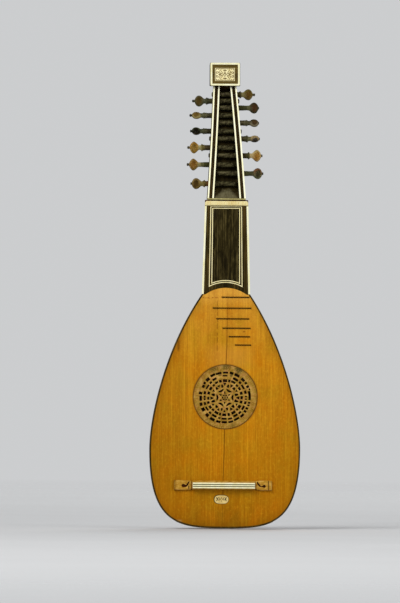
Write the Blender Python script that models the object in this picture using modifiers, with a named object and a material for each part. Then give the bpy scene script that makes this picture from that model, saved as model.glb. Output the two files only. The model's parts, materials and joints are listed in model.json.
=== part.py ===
"""A lombardic mandolin, modelled upright as it hangs.

Lengths are metres. Every piece is laid out in instrument coordinates: the tail of the bowl is at
zero height, the front of the soundboard is at zero depth, +Z runs up the neck, -Y is the side that
the player strikes, and +X is the treble side. One empty carries all of them, so that the hanging
point behind the top of the pegbox lies at the world's origin.
"""

import math

import bmesh
import bpy
from mathutils import Matrix, Vector

MM = 0.001

# Clearances
GAP = 0.3 * MM
INLAY_GAP = 0.15 * MM
PEG_CLEARANCE = 0.35 * MM

# Bowl and soundboard
BODY_HEIGHT = 269.6 * MM
BODY_HALF_WIDTH = 87.0 * MM
WIDEST_HEIGHT = 90.8 * MM
BOWL_DEPTH = 75.0 * MM
TAIL_ROUNDNESS = 0.576
LOWER_ROUNDNESS = 0.99
UPPER_ROUNDNESS = 0.22
SHOULDER_ROUNDNESS = 0.407
SHOULDER_ANGLE = math.radians(34.0)
RIB_COUNT = 11
RIB_THICKNESS = 1.6 * MM
RIB_SEAM = 0.4 * MM
RIB_TAIL_HALF_WIDTH = 12.0 * MM
SOUNDBOARD_THICKNESS = 2.0 * MM
EDGING_WIDTH = 0.9 * MM
ARCH_RISE = 7.5 * MM
ARCH_RADIUS = 40.0 * MM
CLASP_HALF_WIDTH = 56.0 * MM
CLASP_DEPTH = 26.0 * MM
CLASP_THICKNESS = 0.9 * MM
CLASP_TAPER = 0.98
CLASP_COLUMNS = 16
CLASP_ROWS = 6

# Rose
ROSE_HEIGHT = 151.4 * MM
ROSE_RADIUS = 37.35 * MM
ROSE_THICKNESS = 1.6 * MM
OUTER_CELL_RADIUS = 27.5 * MM
OUTER_CELL_HEIGHT = 2.3 * MM
MIDDLE_CELL_RADIUS = 23.7 * MM
MIDDLE_CELL_HEIGHT = 2.0 * MM
INNER_CELL_RADIUS = 18.5 * MM
INNER_CELL_HEIGHT = 2.4 * MM
LANCET_RADIUS = 13.3 * MM
LANCET_HEIGHT = 3.6 * MM
STAR_RADIUS = 12.0 * MM
STAR_BAR = 1.2 * MM
PETAL_RADIUS = 2.4 * MM
PETAL_HEIGHT = 2.2 * MM
PETAL_WIDTH = 44.0

# Inside the bowl
NECK_BLOCK_HEIGHT = 22.0 * MM
TAIL_BLOCK_HALF_WIDTH = 40.0 * MM
TAIL_BLOCK_TOP = 14.0 * MM
ROSE_BRACE_MARGIN = 10.0 * MM
NECK_BRACE_MARGIN = 15.6 * MM
BRACE_WIDTH = 5.5 * MM
BRACE_DEPTH = 11.0 * MM
BRACE_END_DEPTH = 4.0 * MM
BRACE_SLOPE = 22.0 * MM
NAIL_RADIUS = 2.2 * MM
NAIL_HEAD_RADIUS = 4.5 * MM
NAIL_HEAD_THICKNESS = 2.0 * MM
NAIL_DEPTH = 12.0 * MM
NAIL_LENGTH = 58.0 * MM

# Neck and fingerboard
NECK_HALF_WIDTH_FOOT = 27.85 * MM
NECK_HALF_WIDTH_NUT = 24.9 * MM
NECK_DEPTH_NUT = 17.5 * MM
FINGERBOARD_LENGTH = 101.6 * MM
FINGERBOARD_THICKNESS = 2.0 * MM
EDGE_STRIP_WIDTH = 2.1 * MM
LINE_WIDTH = 0.95 * MM
LINE_THICKNESS = 0.7 * MM
LINE_ARC_DROP = 33.8 * MM
OUTER_LINE_TOP_HALF = 17.7 * MM
OUTER_LINE_FOOT_HALF = 19.0 * MM
OUTER_LINE_MARGIN = 0.9 * MM
OUTER_LINE_RISE = 6.4 * MM
INNER_LINE_TOP_HALF = 15.55 * MM
INNER_LINE_FOOT_HALF = 16.05 * MM
INNER_LINE_MARGIN = 2.7 * MM
INNER_LINE_RISE = 8.45 * MM

# Nut and frets on the soundboard
NUT_HEIGHT = 5.5 * MM
NUT_PROUD = 1.7 * MM
NUT_CORNER = 1.9 * MM
NUT_BEVEL = 0.5 * MM
NUT_MARGIN = 0.8 * MM
STRING_RADIUS = 0.6 * MM
COURSE_COUNT = 6
COURSE_SPACING = 8.1 * MM
PAIR_SPACING = 2.6 * MM
BRIDGE_COURSE_SPACING = 11.2 * MM
FRET_WIDTH = 1.2 * MM
FRET_PROUD = 0.8 * MM
# Left end, right end and height of each fret on the soundboard
FRET_PLACES = {
    7: (-5.0 * MM, 27.3 * MM, 266.4 * MM),
    8: (-15.1 * MM, 29.4 * MM, 253.8 * MM),
    9: (-11.0 * MM, 27.1 * MM, 241.5 * MM),
    10: (-3.7 * MM, 28.5 * MM, 230.7 * MM),
    11: (3.6 * MM, 28.1 * MM, 220.9 * MM),
    12: (10.8 * MM, 29.4 * MM, 211.3 * MM),
}

# Bridge and plaque
BRIDGE_HEIGHT = 49.35 * MM
BRIDGE_OFFSET = -2.0 * MM
BRIDGE_HALF_LENGTH = 56.5 * MM
BRIDGE_WING_HALF = 6.0 * MM
BRIDGE_WING_THICKNESS = 2.6 * MM
BRIDGE_BAR_WIDTH = 1.9 * MM
BRIDGE_BAR_PROUD = 4.0 * MM
BRIDGE_BLOCK_HALF_LENGTH = 36.7 * MM
BRIDGE_BLOCK_FOOT_HALF = 5.3 * MM
BRIDGE_BLOCK_TOP_HALF = 4.4 * MM
BRIDGE_BLOCK_PROUD = 7.8 * MM
BRIDGE_TOP_THICKNESS = 1.4 * MM
BRIDGE_TOP_OFFSET = -1.2 * MM
BRIDGE_TOP_HALF_LENGTH = 35.9 * MM
BRIDGE_TOP_HALF_WIDTH = 3.3 * MM
BRIDGE_TOP_GROOVE = 0.8 * MM
STRING_HOLE_RADIUS = 0.6 * MM
COMMA_PLACE = (46.6 * MM, 0.2 * MM)
COMMA_SWING = Vector((-3.5 * MM, -2.8 * MM))
COMMA_BEND = (41.0 * MM, -1.0 * MM)
COMMA_END = (38.8 * MM, 4.3 * MM)
COMMA_RADIUS = 1.6 * MM
COMMA_START = math.radians(205.0)
COMMA_TURN = math.radians(280.0)
COMMA_STEPS = 8
PLAQUE_HEIGHT = 33.2 * MM
PLAQUE_OFFSET = -3.8 * MM
PLAQUE_HALF_LENGTH = 8.6 * MM
PLAQUE_HALF_WIDTH = 5.4 * MM
PLAQUE_THICKNESS = 0.8 * MM

# Pegbox
PEGBOX_RISE = 131.5 * MM
PEGBOX_SETBACK = 0.4 * MM
PEGBOX_LEAN_FOOT = math.radians(10.0)
PEGBOX_LEAN_TOP = math.radians(41.0)
PEGBOX_DEPTH_FOOT = 20.0 * MM
PEGBOX_DEPTH_TOP = 13.0 * MM
PEGBOX_HALF_WIDTH_FOOT = 22.2 * MM
PEGBOX_HALF_WIDTH_TOP = 13.3 * MM
CHEEK_THICKNESS = 7.2 * MM
BACK_THICKNESS = 4.0 * MM
FOOT_SLOPE_END = 16.0 * MM
FOOT_STRIP_HEIGHT = 1.15 * MM
CHEEK_STRIP_WIDTH = 1.7 * MM
CHEEK_STRIP_THICKNESS = 0.9 * MM

# Pegs
PEG_COUNT = 12
FIRST_PEG_SHARE = 0.1433
LAST_PEG_SHARE = 0.9483
PEG_CROWDING = 0.077
PEG_DEPTH_SHARE = 0.44
PEG_RADIUS = 3.1 * MM
PEG_TAPER = 1.0 / 60.0
PEG_HOLE_REACH = 1.05 * MM
PEG_HEAD_LENGTH = 23.0 * MM
PEG_DISC_PLACE = 15.2 * MM
PEG_DISC_HALF_LENGTH = 5.2 * MM
PEG_DISC_RADIUS = 6.9 * MM
PEG_DISC_THICKNESS = 3.6 * MM
PEG_DISC_BEVEL = 1.0 * MM
PEG_COLLAR_PLACE = 5.8 * MM
PEG_COLLAR_RADIUS = 4.35 * MM
PEG_TURNS = {
    "peg_treble_3": math.radians(58.0),
    "peg_bass_4": math.radians(-50.0),
    "peg_treble_4": math.radians(-50.0),
    "peg_bass_5": math.radians(-55.0),
}

# How far pegs lie above or below an even row, along the pegbox
PEG_SHIFTS = {
    "peg_bass_1": -1.45 * MM,
    "peg_bass_2": -0.55 * MM,
    "peg_bass_3": -1.0 * MM,
    "peg_bass_4": -0.9 * MM,
    "peg_bass_5": -0.35 * MM,
    "peg_treble_5": 0.5 * MM,
}

# How far each peg stands out of its cheek beyond the usual, and its tip out of the far cheek
PEG_FITS = {
    "peg_bass_1": (-1.1 * MM, 0.5 * MM),
    "peg_treble_1": (2.8 * MM, -0.5 * MM),
    "peg_bass_2": (3.2 * MM, 0.3 * MM),
    "peg_treble_2": (1.8 * MM, 1.6 * MM),
    "peg_bass_3": (3.7 * MM, 0.3 * MM),
    "peg_treble_3": (1.5 * MM, 2.0 * MM),
    "peg_bass_4": (2.4 * MM, 1.6 * MM),
    "peg_treble_4": (2.3 * MM, -0.5 * MM),
    "peg_bass_5": (3.1 * MM, -0.5 * MM),
    "peg_treble_5": (4.1 * MM, -0.5 * MM),
    "peg_bass_6": (0.8 * MM, 2.0 * MM),
    "peg_treble_6": (0.0, 1.4 * MM),
}

# Finial
FINIAL_LEAN = math.radians(12.0)
FINIAL_PROUD = 6.0 * MM
FINIAL_THICKNESS = 11.0 * MM
FINIAL_HEIGHT = 27.8 * MM
FINIAL_HALF_WIDTH = 17.4 * MM
FINIAL_BEVEL = 0.5 * MM
BORDER_MARGIN = 0.4 * MM
BORDER_WIDTH = 2.2 * MM
BORDER_THICKNESS = 1.2 * MM
BORDER_CORNER = 1.2 * MM
PLAQUE_FRAME = 2.85 * MM
PLAQUE_DROP = 0.45 * MM
FINIAL_PLAQUE_THICKNESS = 0.9 * MM

# Curves are drawn with this many straight steps
SIDE_STEPS = 30
RIB_STEPS = 20
ARC_STEPS = 12
ROUND_STEPS = 48
PEG_STEPS = 10

# Lengths that follow from the ones above
RIM_DEPTH = SOUNDBOARD_THICKNESS + GAP
DEPTH_RATIO = BOWL_DEPTH / BODY_HALF_WIDTH
INNER_INSET = (RIB_THICKNESS + GAP) / DEPTH_RATIO
BOARD_INSET = EDGING_WIDTH + INLAY_GAP
UPPER_HEIGHT = BODY_HEIGHT - WIDEST_HEIGHT
SHOULDER = SHOULDER_ROUNDNESS * UPPER_HEIGHT
ROSE_HOLE_RADIUS = ROSE_RADIUS + INLAY_GAP
NECK_BLOCK_FOOT = BODY_HEIGHT - NECK_BLOCK_HEIGHT
ARCH_TOP = BODY_HEIGHT + ARCH_RISE
ARCH_CENTRE = ARCH_TOP - ARCH_RADIUS
LINE_ARC_CENTRE = ARCH_TOP - LINE_ARC_DROP
CORE_DEPTH = FINGERBOARD_THICKNESS + GAP
BOARD_FOOT = BODY_HEIGHT + GAP
BOARD_TOP = BOARD_FOOT + FINGERBOARD_LENGTH
NUT_FOOT = BOARD_TOP + GAP
NUT_TOP = NUT_FOOT + NUT_HEIGHT
NECK_TOP = NUT_TOP + NUT_MARGIN + GAP
PEGBOX_FOOT = NECK_TOP + GAP
PEGBOX_TOP = PEGBOX_FOOT + PEGBOX_RISE
PEGBOX_RADIUS = PEGBOX_RISE / (math.sin(PEGBOX_LEAN_TOP) - math.sin(PEGBOX_LEAN_FOOT))
PEGBOX_LENGTH = PEGBOX_RADIUS * (PEGBOX_LEAN_TOP - PEGBOX_LEAN_FOOT)
FOOT_REBATE = CHEEK_STRIP_THICKNESS + GAP
STRIP_START = FOOT_STRIP_HEIGHT + 2.0 * GAP
FOOT_REBATE_TOP = PEGBOX_FOOT + STRIP_START + GAP
FINIAL_FOOT = PEGBOX_TOP + GAP

# Euler turns that lay a flat outline, drawn in X and Y, into the instrument
FACING_FRONT = (math.pi / 2.0, 0.0, 0.0)
FACING_SIDE = (math.pi / 2.0, 0.0, math.pi / 2.0)
FACING_UP = (0.0, 0.0, 0.0)


for old_object in list(bpy.data.objects):
    bpy.data.objects.remove(old_object, do_unlink=True)

instrument = bpy.data.collections.new("lombardic_mandolin")
cutters = bpy.data.collections.new("cutters")
bpy.context.scene.collection.children.link(instrument)
bpy.context.scene.collection.children.link(cutters)


# Materials


def make_material(name, colour, roughness, metallic=0.0):
    """A plain finish: base colour, roughness and metallic value."""
    material = bpy.data.materials.new(name)
    material.use_nodes = True
    shader = material.node_tree.nodes["Principled BSDF"]
    shader.inputs["Base Color"].default_value = (*colour, 1.0)
    shader.inputs["Roughness"].default_value = roughness
    shader.inputs["Metallic"].default_value = metallic
    material.diffuse_color = (*colour, 1.0)
    return material


SPRUCE = make_material("golden_spruce", (0.56, 0.27, 0.03), 0.42)
BARE_SPRUCE = make_material("bare_spruce", (0.62, 0.45, 0.24), 0.70)
ROSEWOOD = make_material("rosewood", (0.09, 0.035, 0.016), 0.35)
EBONY = make_material("ebony", (0.018, 0.013, 0.009), 0.35)
STAINED_WOOD = make_material("stained_wood", (0.030, 0.020, 0.012), 0.38)
FINGERBOARD_WOOD = make_material("fingerboard_wood", (0.030, 0.018, 0.008), 0.40)
IVORY = make_material("ivory", (0.78, 0.69, 0.42), 0.40)
BONE = make_material("bone", (0.76, 0.67, 0.42), 0.50)
PEARWOOD = make_material("pearwood", (0.45, 0.26, 0.08), 0.55)
LIMEWOOD = make_material("limewood", (0.60, 0.44, 0.22), 0.70)
PEG_WOOD = make_material("peg_wood", (0.045, 0.030, 0.018), 0.45)
IRON = make_material("iron", (0.16, 0.14, 0.12), 0.60, 1.0)


# Building helpers


def add_object(name, data, material, collection=instrument):
    """Link new data to the scene as one named piece."""
    piece = bpy.data.objects.new(name, data)
    collection.objects.link(piece)
    if material is not None:
        data.materials.append(material)
    return piece


def hide_as_cutter(cutter):
    """Show a cutting shape as wire only, and leave it out of renders."""
    cutter.display_type = "WIRE"
    cutter.hide_render = True
    return cutter


def flat_piece(name, outlines, thickness, material, place, facing, collection=instrument):
    """Closed outlines in one plane, holes included, extruded to a thickness about that plane."""
    curve = bpy.data.curves.new(name, "CURVE")
    curve.dimensions = "2D"
    curve.fill_mode = "BOTH"
    curve.extrude = thickness / 2.0
    for outline in outlines:
        spline = curve.splines.new("POLY")
        spline.points.add(len(outline) - 1)
        for point, (across, along) in zip(spline.points, outline):
            point.co = (across, along, 0.0, 1.0)
        spline.use_cyclic_u = True
    piece = add_object(name, curve, material, collection)
    piece.location = place
    piece.rotation_euler = facing
    return piece


def front_plate(name, outlines, near, far, material, collection=instrument):
    """A plate parallel to the soundboard, between two depths."""
    place = (0.0, (near + far) / 2.0, 0.0)
    return flat_piece(name, outlines, far - near, material, place, FACING_FRONT, collection)


def to_mesh(curve_piece):
    """Turn a flat piece into a mesh with welded caps, in instrument coordinates."""
    bpy.context.view_layer.update()
    depsgraph = bpy.context.evaluated_depsgraph_get()
    mesh = bpy.data.meshes.new_from_object(curve_piece.evaluated_get(depsgraph))
    mesh.transform(curve_piece.matrix_world)
    shell = bmesh.new()
    shell.from_mesh(mesh)
    bmesh.ops.remove_doubles(shell, verts=shell.verts, dist=0.001 * MM)
    shell.to_mesh(mesh)
    shell.free()
    name = curve_piece.name
    collection = curve_piece.users_collection[0]
    bpy.data.objects.remove(curve_piece, do_unlink=True)
    piece = bpy.data.objects.new(name, mesh)
    collection.objects.link(piece)
    return piece


def box_piece(name, low, high, material, collection=instrument):
    """A box between two corners."""
    shell = bmesh.new()
    bmesh.ops.create_cube(shell, size=1.0)
    size = Vector(high) - Vector(low)
    middle = (Vector(high) + Vector(low)) / 2.0
    bmesh.ops.scale(shell, vec=size, verts=shell.verts)
    bmesh.ops.translate(shell, vec=middle, verts=shell.verts)
    mesh = bpy.data.meshes.new(name)
    shell.to_mesh(mesh)
    shell.free()
    return add_object(name, mesh, material, collection)


def rods(name, spans, steps, material, collection=instrument):
    """Straight round rods in one mesh, each from a start to an end with a radius at each."""
    shell = bmesh.new()
    for start, end, start_radius, end_radius in spans:
        axis = Vector(end) - Vector(start)
        turn = axis.to_track_quat("Z", "Y").to_matrix().to_4x4()
        middle = (Vector(start) + Vector(end)) / 2.0
        bmesh.ops.create_cone(
            shell,
            cap_ends=True,
            segments=steps,
            radius1=start_radius,
            radius2=end_radius,
            depth=axis.length,
            matrix=Matrix.Translation(middle) @ turn,
        )
    mesh = bpy.data.meshes.new(name)
    shell.to_mesh(mesh)
    shell.free()
    return add_object(name, mesh, material, collection)


def formed_sheet(name, columns, rows, place, thickness, material):
    """A grid moved to place(u, v), thickened away from the side that its faces look to."""
    shell = bmesh.new()
    bmesh.ops.create_grid(shell, x_segments=columns, y_segments=rows, size=0.5)
    for vert in shell.verts:
        vert.co = place(vert.co.x + 0.5, vert.co.y + 0.5)
    mesh = bpy.data.meshes.new(name)
    shell.to_mesh(mesh)
    shell.free()
    piece = add_object(name, mesh, material)
    solidify = piece.modifiers.new("thickness", "SOLIDIFY")
    solidify.thickness = thickness
    solidify.use_even_offset = True
    return piece


def lofted_piece(name, rings, material):
    """Skin a row of rings with the same number of points, and close both ends."""
    shell = bmesh.new()
    loops = [[shell.verts.new(point) for point in ring] for ring in rings]
    count = len(loops[0])
    for lower, upper in zip(loops, loops[1:]):
        for index in range(count):
            following = (index + 1) % count
            shell.faces.new((lower[index], lower[following], upper[following], upper[index]))
    shell.faces.new(loops[0])
    shell.faces.new(loops[-1])
    bmesh.ops.recalc_face_normals(shell, faces=shell.faces)
    mesh = bpy.data.meshes.new(name)
    shell.to_mesh(mesh)
    shell.free()
    return add_object(name, mesh, material)


def cut(piece, cutter):
    """Cut one piece by another that is kept as a wire cutter."""
    boolean = piece.modifiers.new(cutter.name, "BOOLEAN")
    boolean.operation = "DIFFERENCE"
    boolean.solver = "EXACT"
    boolean.object = hide_as_cutter(cutter)


def join(piece, addition):
    """Fuse a shape into a piece. The shape itself is kept as a wire guide."""
    boolean = piece.modifiers.new(addition.name, "BOOLEAN")
    boolean.operation = "UNION"
    boolean.solver = "EXACT"
    boolean.object = hide_as_cutter(addition)


def bevel(piece, width, segments=1, angle=math.radians(40.0)):
    """Break the sharp edges of a piece."""
    modifier = piece.modifiers.new("bevel", "BEVEL")
    modifier.width = width
    modifier.segments = segments
    modifier.limit_method = "ANGLE"
    modifier.angle_limit = angle


def smooth(piece, angle=math.radians(40.0)):
    """Shade the rounded faces of a mesh smooth, and keep its edges sharp."""
    piece.data.shade_smooth()
    piece.data.set_sharp_from_angle(angle=angle)


def share(start, end, amount):
    """The value a given share of the way from start to end."""
    return start + (end - start) * amount


# Shape of the body


def bezier(knots, amount):
    """A point on a cubic curve and the direction in which the curve runs there."""
    start, leaving, arriving, end = (Vector(knot) for knot in knots)
    rest = 1.0 - amount
    point = (
        start * rest**3
        + leaving * (3.0 * rest**2 * amount)
        + arriving * (3.0 * rest * amount**2)
        + end * amount**3
    )
    direction = (
        (leaving - start) * rest**2
        + (arriving - leaving) * (2.0 * rest * amount)
        + (end - arriving) * amount**2
    )
    return point, direction.normalized()


LOWER_SIDE = (
    (0.0, 0.0),
    (TAIL_ROUNDNESS * BODY_HALF_WIDTH, 0.0),
    (BODY_HALF_WIDTH, (1.0 - LOWER_ROUNDNESS) * WIDEST_HEIGHT),
    (BODY_HALF_WIDTH, WIDEST_HEIGHT),
)
UPPER_SIDE = (
    (BODY_HALF_WIDTH, WIDEST_HEIGHT),
    (BODY_HALF_WIDTH, WIDEST_HEIGHT + UPPER_ROUNDNESS * UPPER_HEIGHT),
    (
        NECK_HALF_WIDTH_FOOT + SHOULDER * math.sin(SHOULDER_ANGLE),
        BODY_HEIGHT - SHOULDER * math.cos(SHOULDER_ANGLE),
    ),
    (NECK_HALF_WIDTH_FOOT, BODY_HEIGHT),
)


def body_side(amount, inset=0.0):
    """Half width and height of the body's edge, from the tail at 0 to the neck at 1."""
    if amount < 0.5:
        point, direction = bezier(LOWER_SIDE, 2.0 * amount)
    else:
        point, direction = bezier(UPPER_SIDE, 2.0 * amount - 1.0)
    outward = Vector((direction.y, -direction.x))
    return point - outward * inset


def find_amount(low, high, passed):
    """The share between low and high at which a test starts to hold."""
    for _ in range(40):
        middle = (low + high) / 2.0
        if passed(middle):
            high = middle
        else:
            low = middle
    return high


def tail_height(half_width, inset):
    """Height of the body's edge at a half width, below the widest place."""
    amount = find_amount(0.0, 0.5, lambda value: body_side(value, inset).x >= half_width)
    return body_side(amount, inset).y


def inner_half_width(height):
    """Half width inside the ribs at a height above the widest place or just below it."""
    amount = find_amount(0.2, 1.0, lambda value: body_side(value, INNER_INSET).y >= height)
    return body_side(amount, INNER_INSET).x


def neck_half_width(height):
    """Half width of the neck, which runs straight from the body to the pegbox."""
    amount = (height - BODY_HEIGHT) / (NECK_TOP - BODY_HEIGHT)
    return share(NECK_HALF_WIDTH_FOOT, NECK_HALF_WIDTH_NUT, amount)


def bowl_point(amount, angle, inset=0.0):
    """A point of the bowl: angle 0 is the treble edge, half a turn is the bass edge."""
    half_width, height = body_side(amount, inset)
    return Vector(
        (
            half_width * math.cos(angle),
            RIM_DEPTH + DEPTH_RATIO * half_width * math.sin(angle),
            height,
        )
    )


def half_round(half_width, depth, front, height, steps=ARC_STEPS):
    """A ring with a flat front and a half-elliptic back, level at one height."""
    ring = []
    for index in range(steps + 1):
        angle = math.pi * index / steps
        ring.append(
            Vector((half_width * math.cos(angle), front + depth * math.sin(angle), height))
        )
    return ring


def side_outline(inset, steps=SIDE_STEPS):
    """The treble edge of the body from tail to neck, as half widths and heights."""
    return [tuple(body_side(index / steps, inset)) for index in range(steps + 1)]


def mirrored(outline):
    """The same outline on the other side, run the other way."""
    return [(-across, along) for across, along in reversed(outline)]


def circle(radius, centre, steps):
    """A closed round outline."""
    return [
        (
            centre[0] + radius * math.cos(2.0 * math.pi * index / steps),
            centre[1] + radius * math.sin(2.0 * math.pi * index / steps),
        )
        for index in range(steps)
    ]


def arch(radius, centre, foot, steps=ARC_STEPS):
    """A round arch about a centre line, from its treble foot over the top to its bass foot."""
    half_angle = math.acos((foot - centre) / radius)
    points = []
    for index in range(steps + 1):
        angle = half_angle * (1.0 - 2.0 * index / steps)
        points.append((radius * math.sin(angle), centre + radius * math.cos(angle)))
    return points


# Bowl


def make_rib(number):
    """One lengthwise strip of the bowl, with half a seam's width left free on each side."""
    first = math.pi * (number - 1) / RIB_COUNT
    last = math.pi * number / RIB_COUNT
    start = find_amount(0.0, 0.5, lambda value: body_side(value).x >= RIB_TAIL_HALF_WIDTH)

    def place(across, along):
        amount = share(start, 1.0, along)
        seam = RIB_SEAM / 2.0 / body_side(amount).x
        low = first + (seam if number > 1 else 0.0)
        high = last - (seam if number < RIB_COUNT else 0.0)
        return bowl_point(amount, share(low, high, across))

    name = "rib_%02d" % number
    rib = formed_sheet(name, 2, RIB_STEPS, place, RIB_THICKNESS, ROSEWOOD)
    smooth(rib)
    return rib


def make_end_clasp():
    """The thin cap that covers the ends of the ribs round the tail."""

    def place(across, along):
        width = share(-CLASP_HALF_WIDTH, CLASP_HALF_WIDTH, across)
        reach = CLASP_DEPTH * math.sqrt(1.0 - (CLASP_TAPER * width / CLASP_HALF_WIDTH) ** 2)
        row = round(along * CLASP_ROWS)
        depth = 0.0 if row == 0 else RIM_DEPTH + reach * (row - 1) / (CLASP_ROWS - 1)
        behind = max(depth - RIM_DEPTH, 0.0) / DEPTH_RATIO
        return Vector((width, depth, tail_height(math.hypot(width, behind), -GAP)))

    clasp = formed_sheet(
        "end_clasp", CLASP_COLUMNS, CLASP_ROWS, place, CLASP_THICKNESS, EBONY
    )
    smooth(clasp)
    return clasp


def make_neck_block():
    """Wedge of wood that fills the bowl below the neck."""
    start = find_amount(
        0.5,
        1.0,
        lambda value: body_side(value, INNER_INSET).y >= NECK_BLOCK_FOOT,
    )
    rings = []
    for index in range(5):
        half_width, height = body_side(share(start, 1.0, index / 4.0), INNER_INSET)
        rings.append(half_round(half_width, DEPTH_RATIO * half_width, RIM_DEPTH, height))
    last = body_side(1.0, INNER_INSET)
    narrowing = (BODY_HEIGHT - last.y) * math.tan(SHOULDER_ANGLE)
    half_width = last.x - narrowing
    rings.append(half_round(half_width, DEPTH_RATIO * half_width, RIM_DEPTH, BODY_HEIGHT))
    block = lofted_piece("neck_block", rings, LIMEWOOD)
    smooth(block)
    return block


def make_tail_block():
    """Low block that backs the tail inside the bowl."""
    rings = []
    for index in range(1, 5):
        half_width = TAIL_BLOCK_HALF_WIDTH * index / 4.0
        height = tail_height(half_width, INNER_INSET)
        rings.append(half_round(half_width, DEPTH_RATIO * half_width, RIM_DEPTH, height))
    rings.append(
        half_round(
            TAIL_BLOCK_HALF_WIDTH,
            DEPTH_RATIO * TAIL_BLOCK_HALF_WIDTH,
            RIM_DEPTH,
            TAIL_BLOCK_TOP,
        )
    )
    block = lofted_piece("tail_block", rings, LIMEWOOD)
    smooth(block)
    return block


def make_brace(name, height):
    """A bar across the back of the soundboard, pared down towards its ends."""
    edge = height + math.copysign(BRACE_WIDTH / 2.0, height - WIDEST_HEIGHT)
    reach = inner_half_width(edge) - GAP
    end = reach * math.sqrt(1.0 - (BRACE_END_DEPTH / (DEPTH_RATIO * reach)) ** 2)
    near = RIM_DEPTH
    outline = [
        (-end, near),
        (end, near),
        (end, near + BRACE_END_DEPTH),
        (end - BRACE_SLOPE, near + BRACE_DEPTH),
        (BRACE_SLOPE - end, near + BRACE_DEPTH),
        (-end, near + BRACE_END_DEPTH),
    ]
    place = (0.0, 0.0, height)
    return flat_piece(name, [outline], BRACE_WIDTH, BARE_SPRUCE, place, FACING_UP)


# Soundboard


def make_soundboard():
    """The plate, with its arched tongue above and a round hole for the rose."""
    tongue = arch(ARCH_RADIUS, ARCH_CENTRE, BODY_HEIGHT)
    side = side_outline(BOARD_INSET)
    outline = side + tongue + mirrored(side[1:])
    hole = circle(ROSE_HOLE_RADIUS, (0.0, ROSE_HEIGHT), ROUND_STEPS)
    return front_plate("soundboard", [outline, hole], 0.0, SOUNDBOARD_THICKNESS, SPRUCE)


def make_edging():
    """The dark strip let into the soundboard's edge, from shoulder round the tail to shoulder."""
    outer = side_outline(0.0)
    inner = side_outline(EDGING_WIDTH)
    outline = mirrored(outer) + outer[1:] + inner[:0:-1] + mirrored(inner[::-1])
    return front_plate("soundboard_edging", [outline], 0.0, SOUNDBOARD_THICKNESS, EBONY)


# Rose


def polar(radius, degrees):
    """A place on the rose, with the angle measured from straight up."""
    angle = math.radians(degrees)
    return (radius * math.sin(angle), ROSE_HEIGHT + radius * math.cos(angle))


def cell(inner, height, middle, width, steps=2):
    """An opening that starts at an inner radius, its arcs drawn in a number of steps."""
    angles = [middle + width * (index / steps - 0.5) for index in range(steps + 1)]
    return [polar(inner + height, angle) for angle in angles] + [
        polar(inner, angle) for angle in reversed(angles)
    ]


def ring_of_cells(inner, height, count, width, start=0.0, steps=2):
    """Equal openings round a ring."""
    middles = [start + 360.0 * index / count for index in range(count)]
    return [cell(inner, height, middle, width, steps) for middle in middles]


def lancet(middle, width):
    """A pointed opening that stands on the ring outside it and points to the middle."""
    half = width / 2.0
    outer = LANCET_RADIUS + LANCET_HEIGHT
    shoulder = outer - 0.35 * LANCET_HEIGHT
    return [
        polar(outer, middle - half),
        polar(outer, middle + half),
        polar(shoulder, middle + 0.8 * half),
        polar(LANCET_RADIUS, middle),
        polar(shoulder, middle - 0.8 * half),
    ]


def star_openings():
    """Openings inside and between the points of the six-pointed star, and round its middle."""
    notch = STAR_RADIUS / math.sqrt(3.0)
    side = STAR_RADIUS / 2.0
    openings = []
    for point in range(6):
        middle = 60.0 * point
        tip = STAR_RADIUS - STAR_BAR
        base = side + STAR_BAR / 2.0
        half = (tip - base) * math.tan(math.radians(30.0))
        openings.append(
            [
                polar(tip, middle),
                polar(math.hypot(base, half), middle + math.degrees(math.atan2(half, base))),
                polar(math.hypot(base, half), middle - math.degrees(math.atan2(half, base))),
            ]
        )
        between = middle + 30.0
        openings.append(
            [
                polar(notch + STAR_BAR, between),
                polar(STAR_RADIUS, between - 20.0),
                polar(STAR_RADIUS + STAR_BAR / 4.0, between),
                polar(STAR_RADIUS, between + 20.0),
            ]
        )
        openings.append(cell(PETAL_RADIUS, PETAL_HEIGHT, between, PETAL_WIDTH))
    return openings


def make_rose():
    """The pierced disc: three rings of cells, a ring of lancets, and a star in the middle."""
    openings = ring_of_cells(OUTER_CELL_RADIUS, OUTER_CELL_HEIGHT, 24, 12.2, 7.5)
    openings += ring_of_cells(MIDDLE_CELL_RADIUS, MIDDLE_CELL_HEIGHT, 12, 15.4)
    openings += ring_of_cells(MIDDLE_CELL_RADIUS, MIDDLE_CELL_HEIGHT, 12, 7.4, 15.0, 1)
    openings += ring_of_cells(INNER_CELL_RADIUS, INNER_CELL_HEIGHT, 12, 15.0)
    openings += ring_of_cells(INNER_CELL_RADIUS, INNER_CELL_HEIGHT, 12, 6.6, 15.0, 1)
    openings += [lancet(15.0 * index + 7.5, 11.0) for index in range(24)]
    openings += star_openings()
    outline = circle(ROSE_RADIUS, (0.0, ROSE_HEIGHT), ROUND_STEPS)
    return front_plate("rose", [outline] + openings, 0.0, ROSE_THICKNESS, SPRUCE)


# Neck and fingerboard


def make_neck():
    """Half-round neck that carries on the line of the bowl."""
    foot_depth = DEPTH_RATIO * NECK_HALF_WIDTH_FOOT
    rings = [
        half_round(neck_half_width(BOARD_FOOT), foot_depth, CORE_DEPTH, BOARD_FOOT, 16),
        half_round(NECK_HALF_WIDTH_NUT, NECK_DEPTH_NUT, CORE_DEPTH, NECK_TOP, 16),
    ]
    neck = lofted_piece("neck", rings, ROSEWOOD)
    smooth(neck)
    return neck


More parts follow.
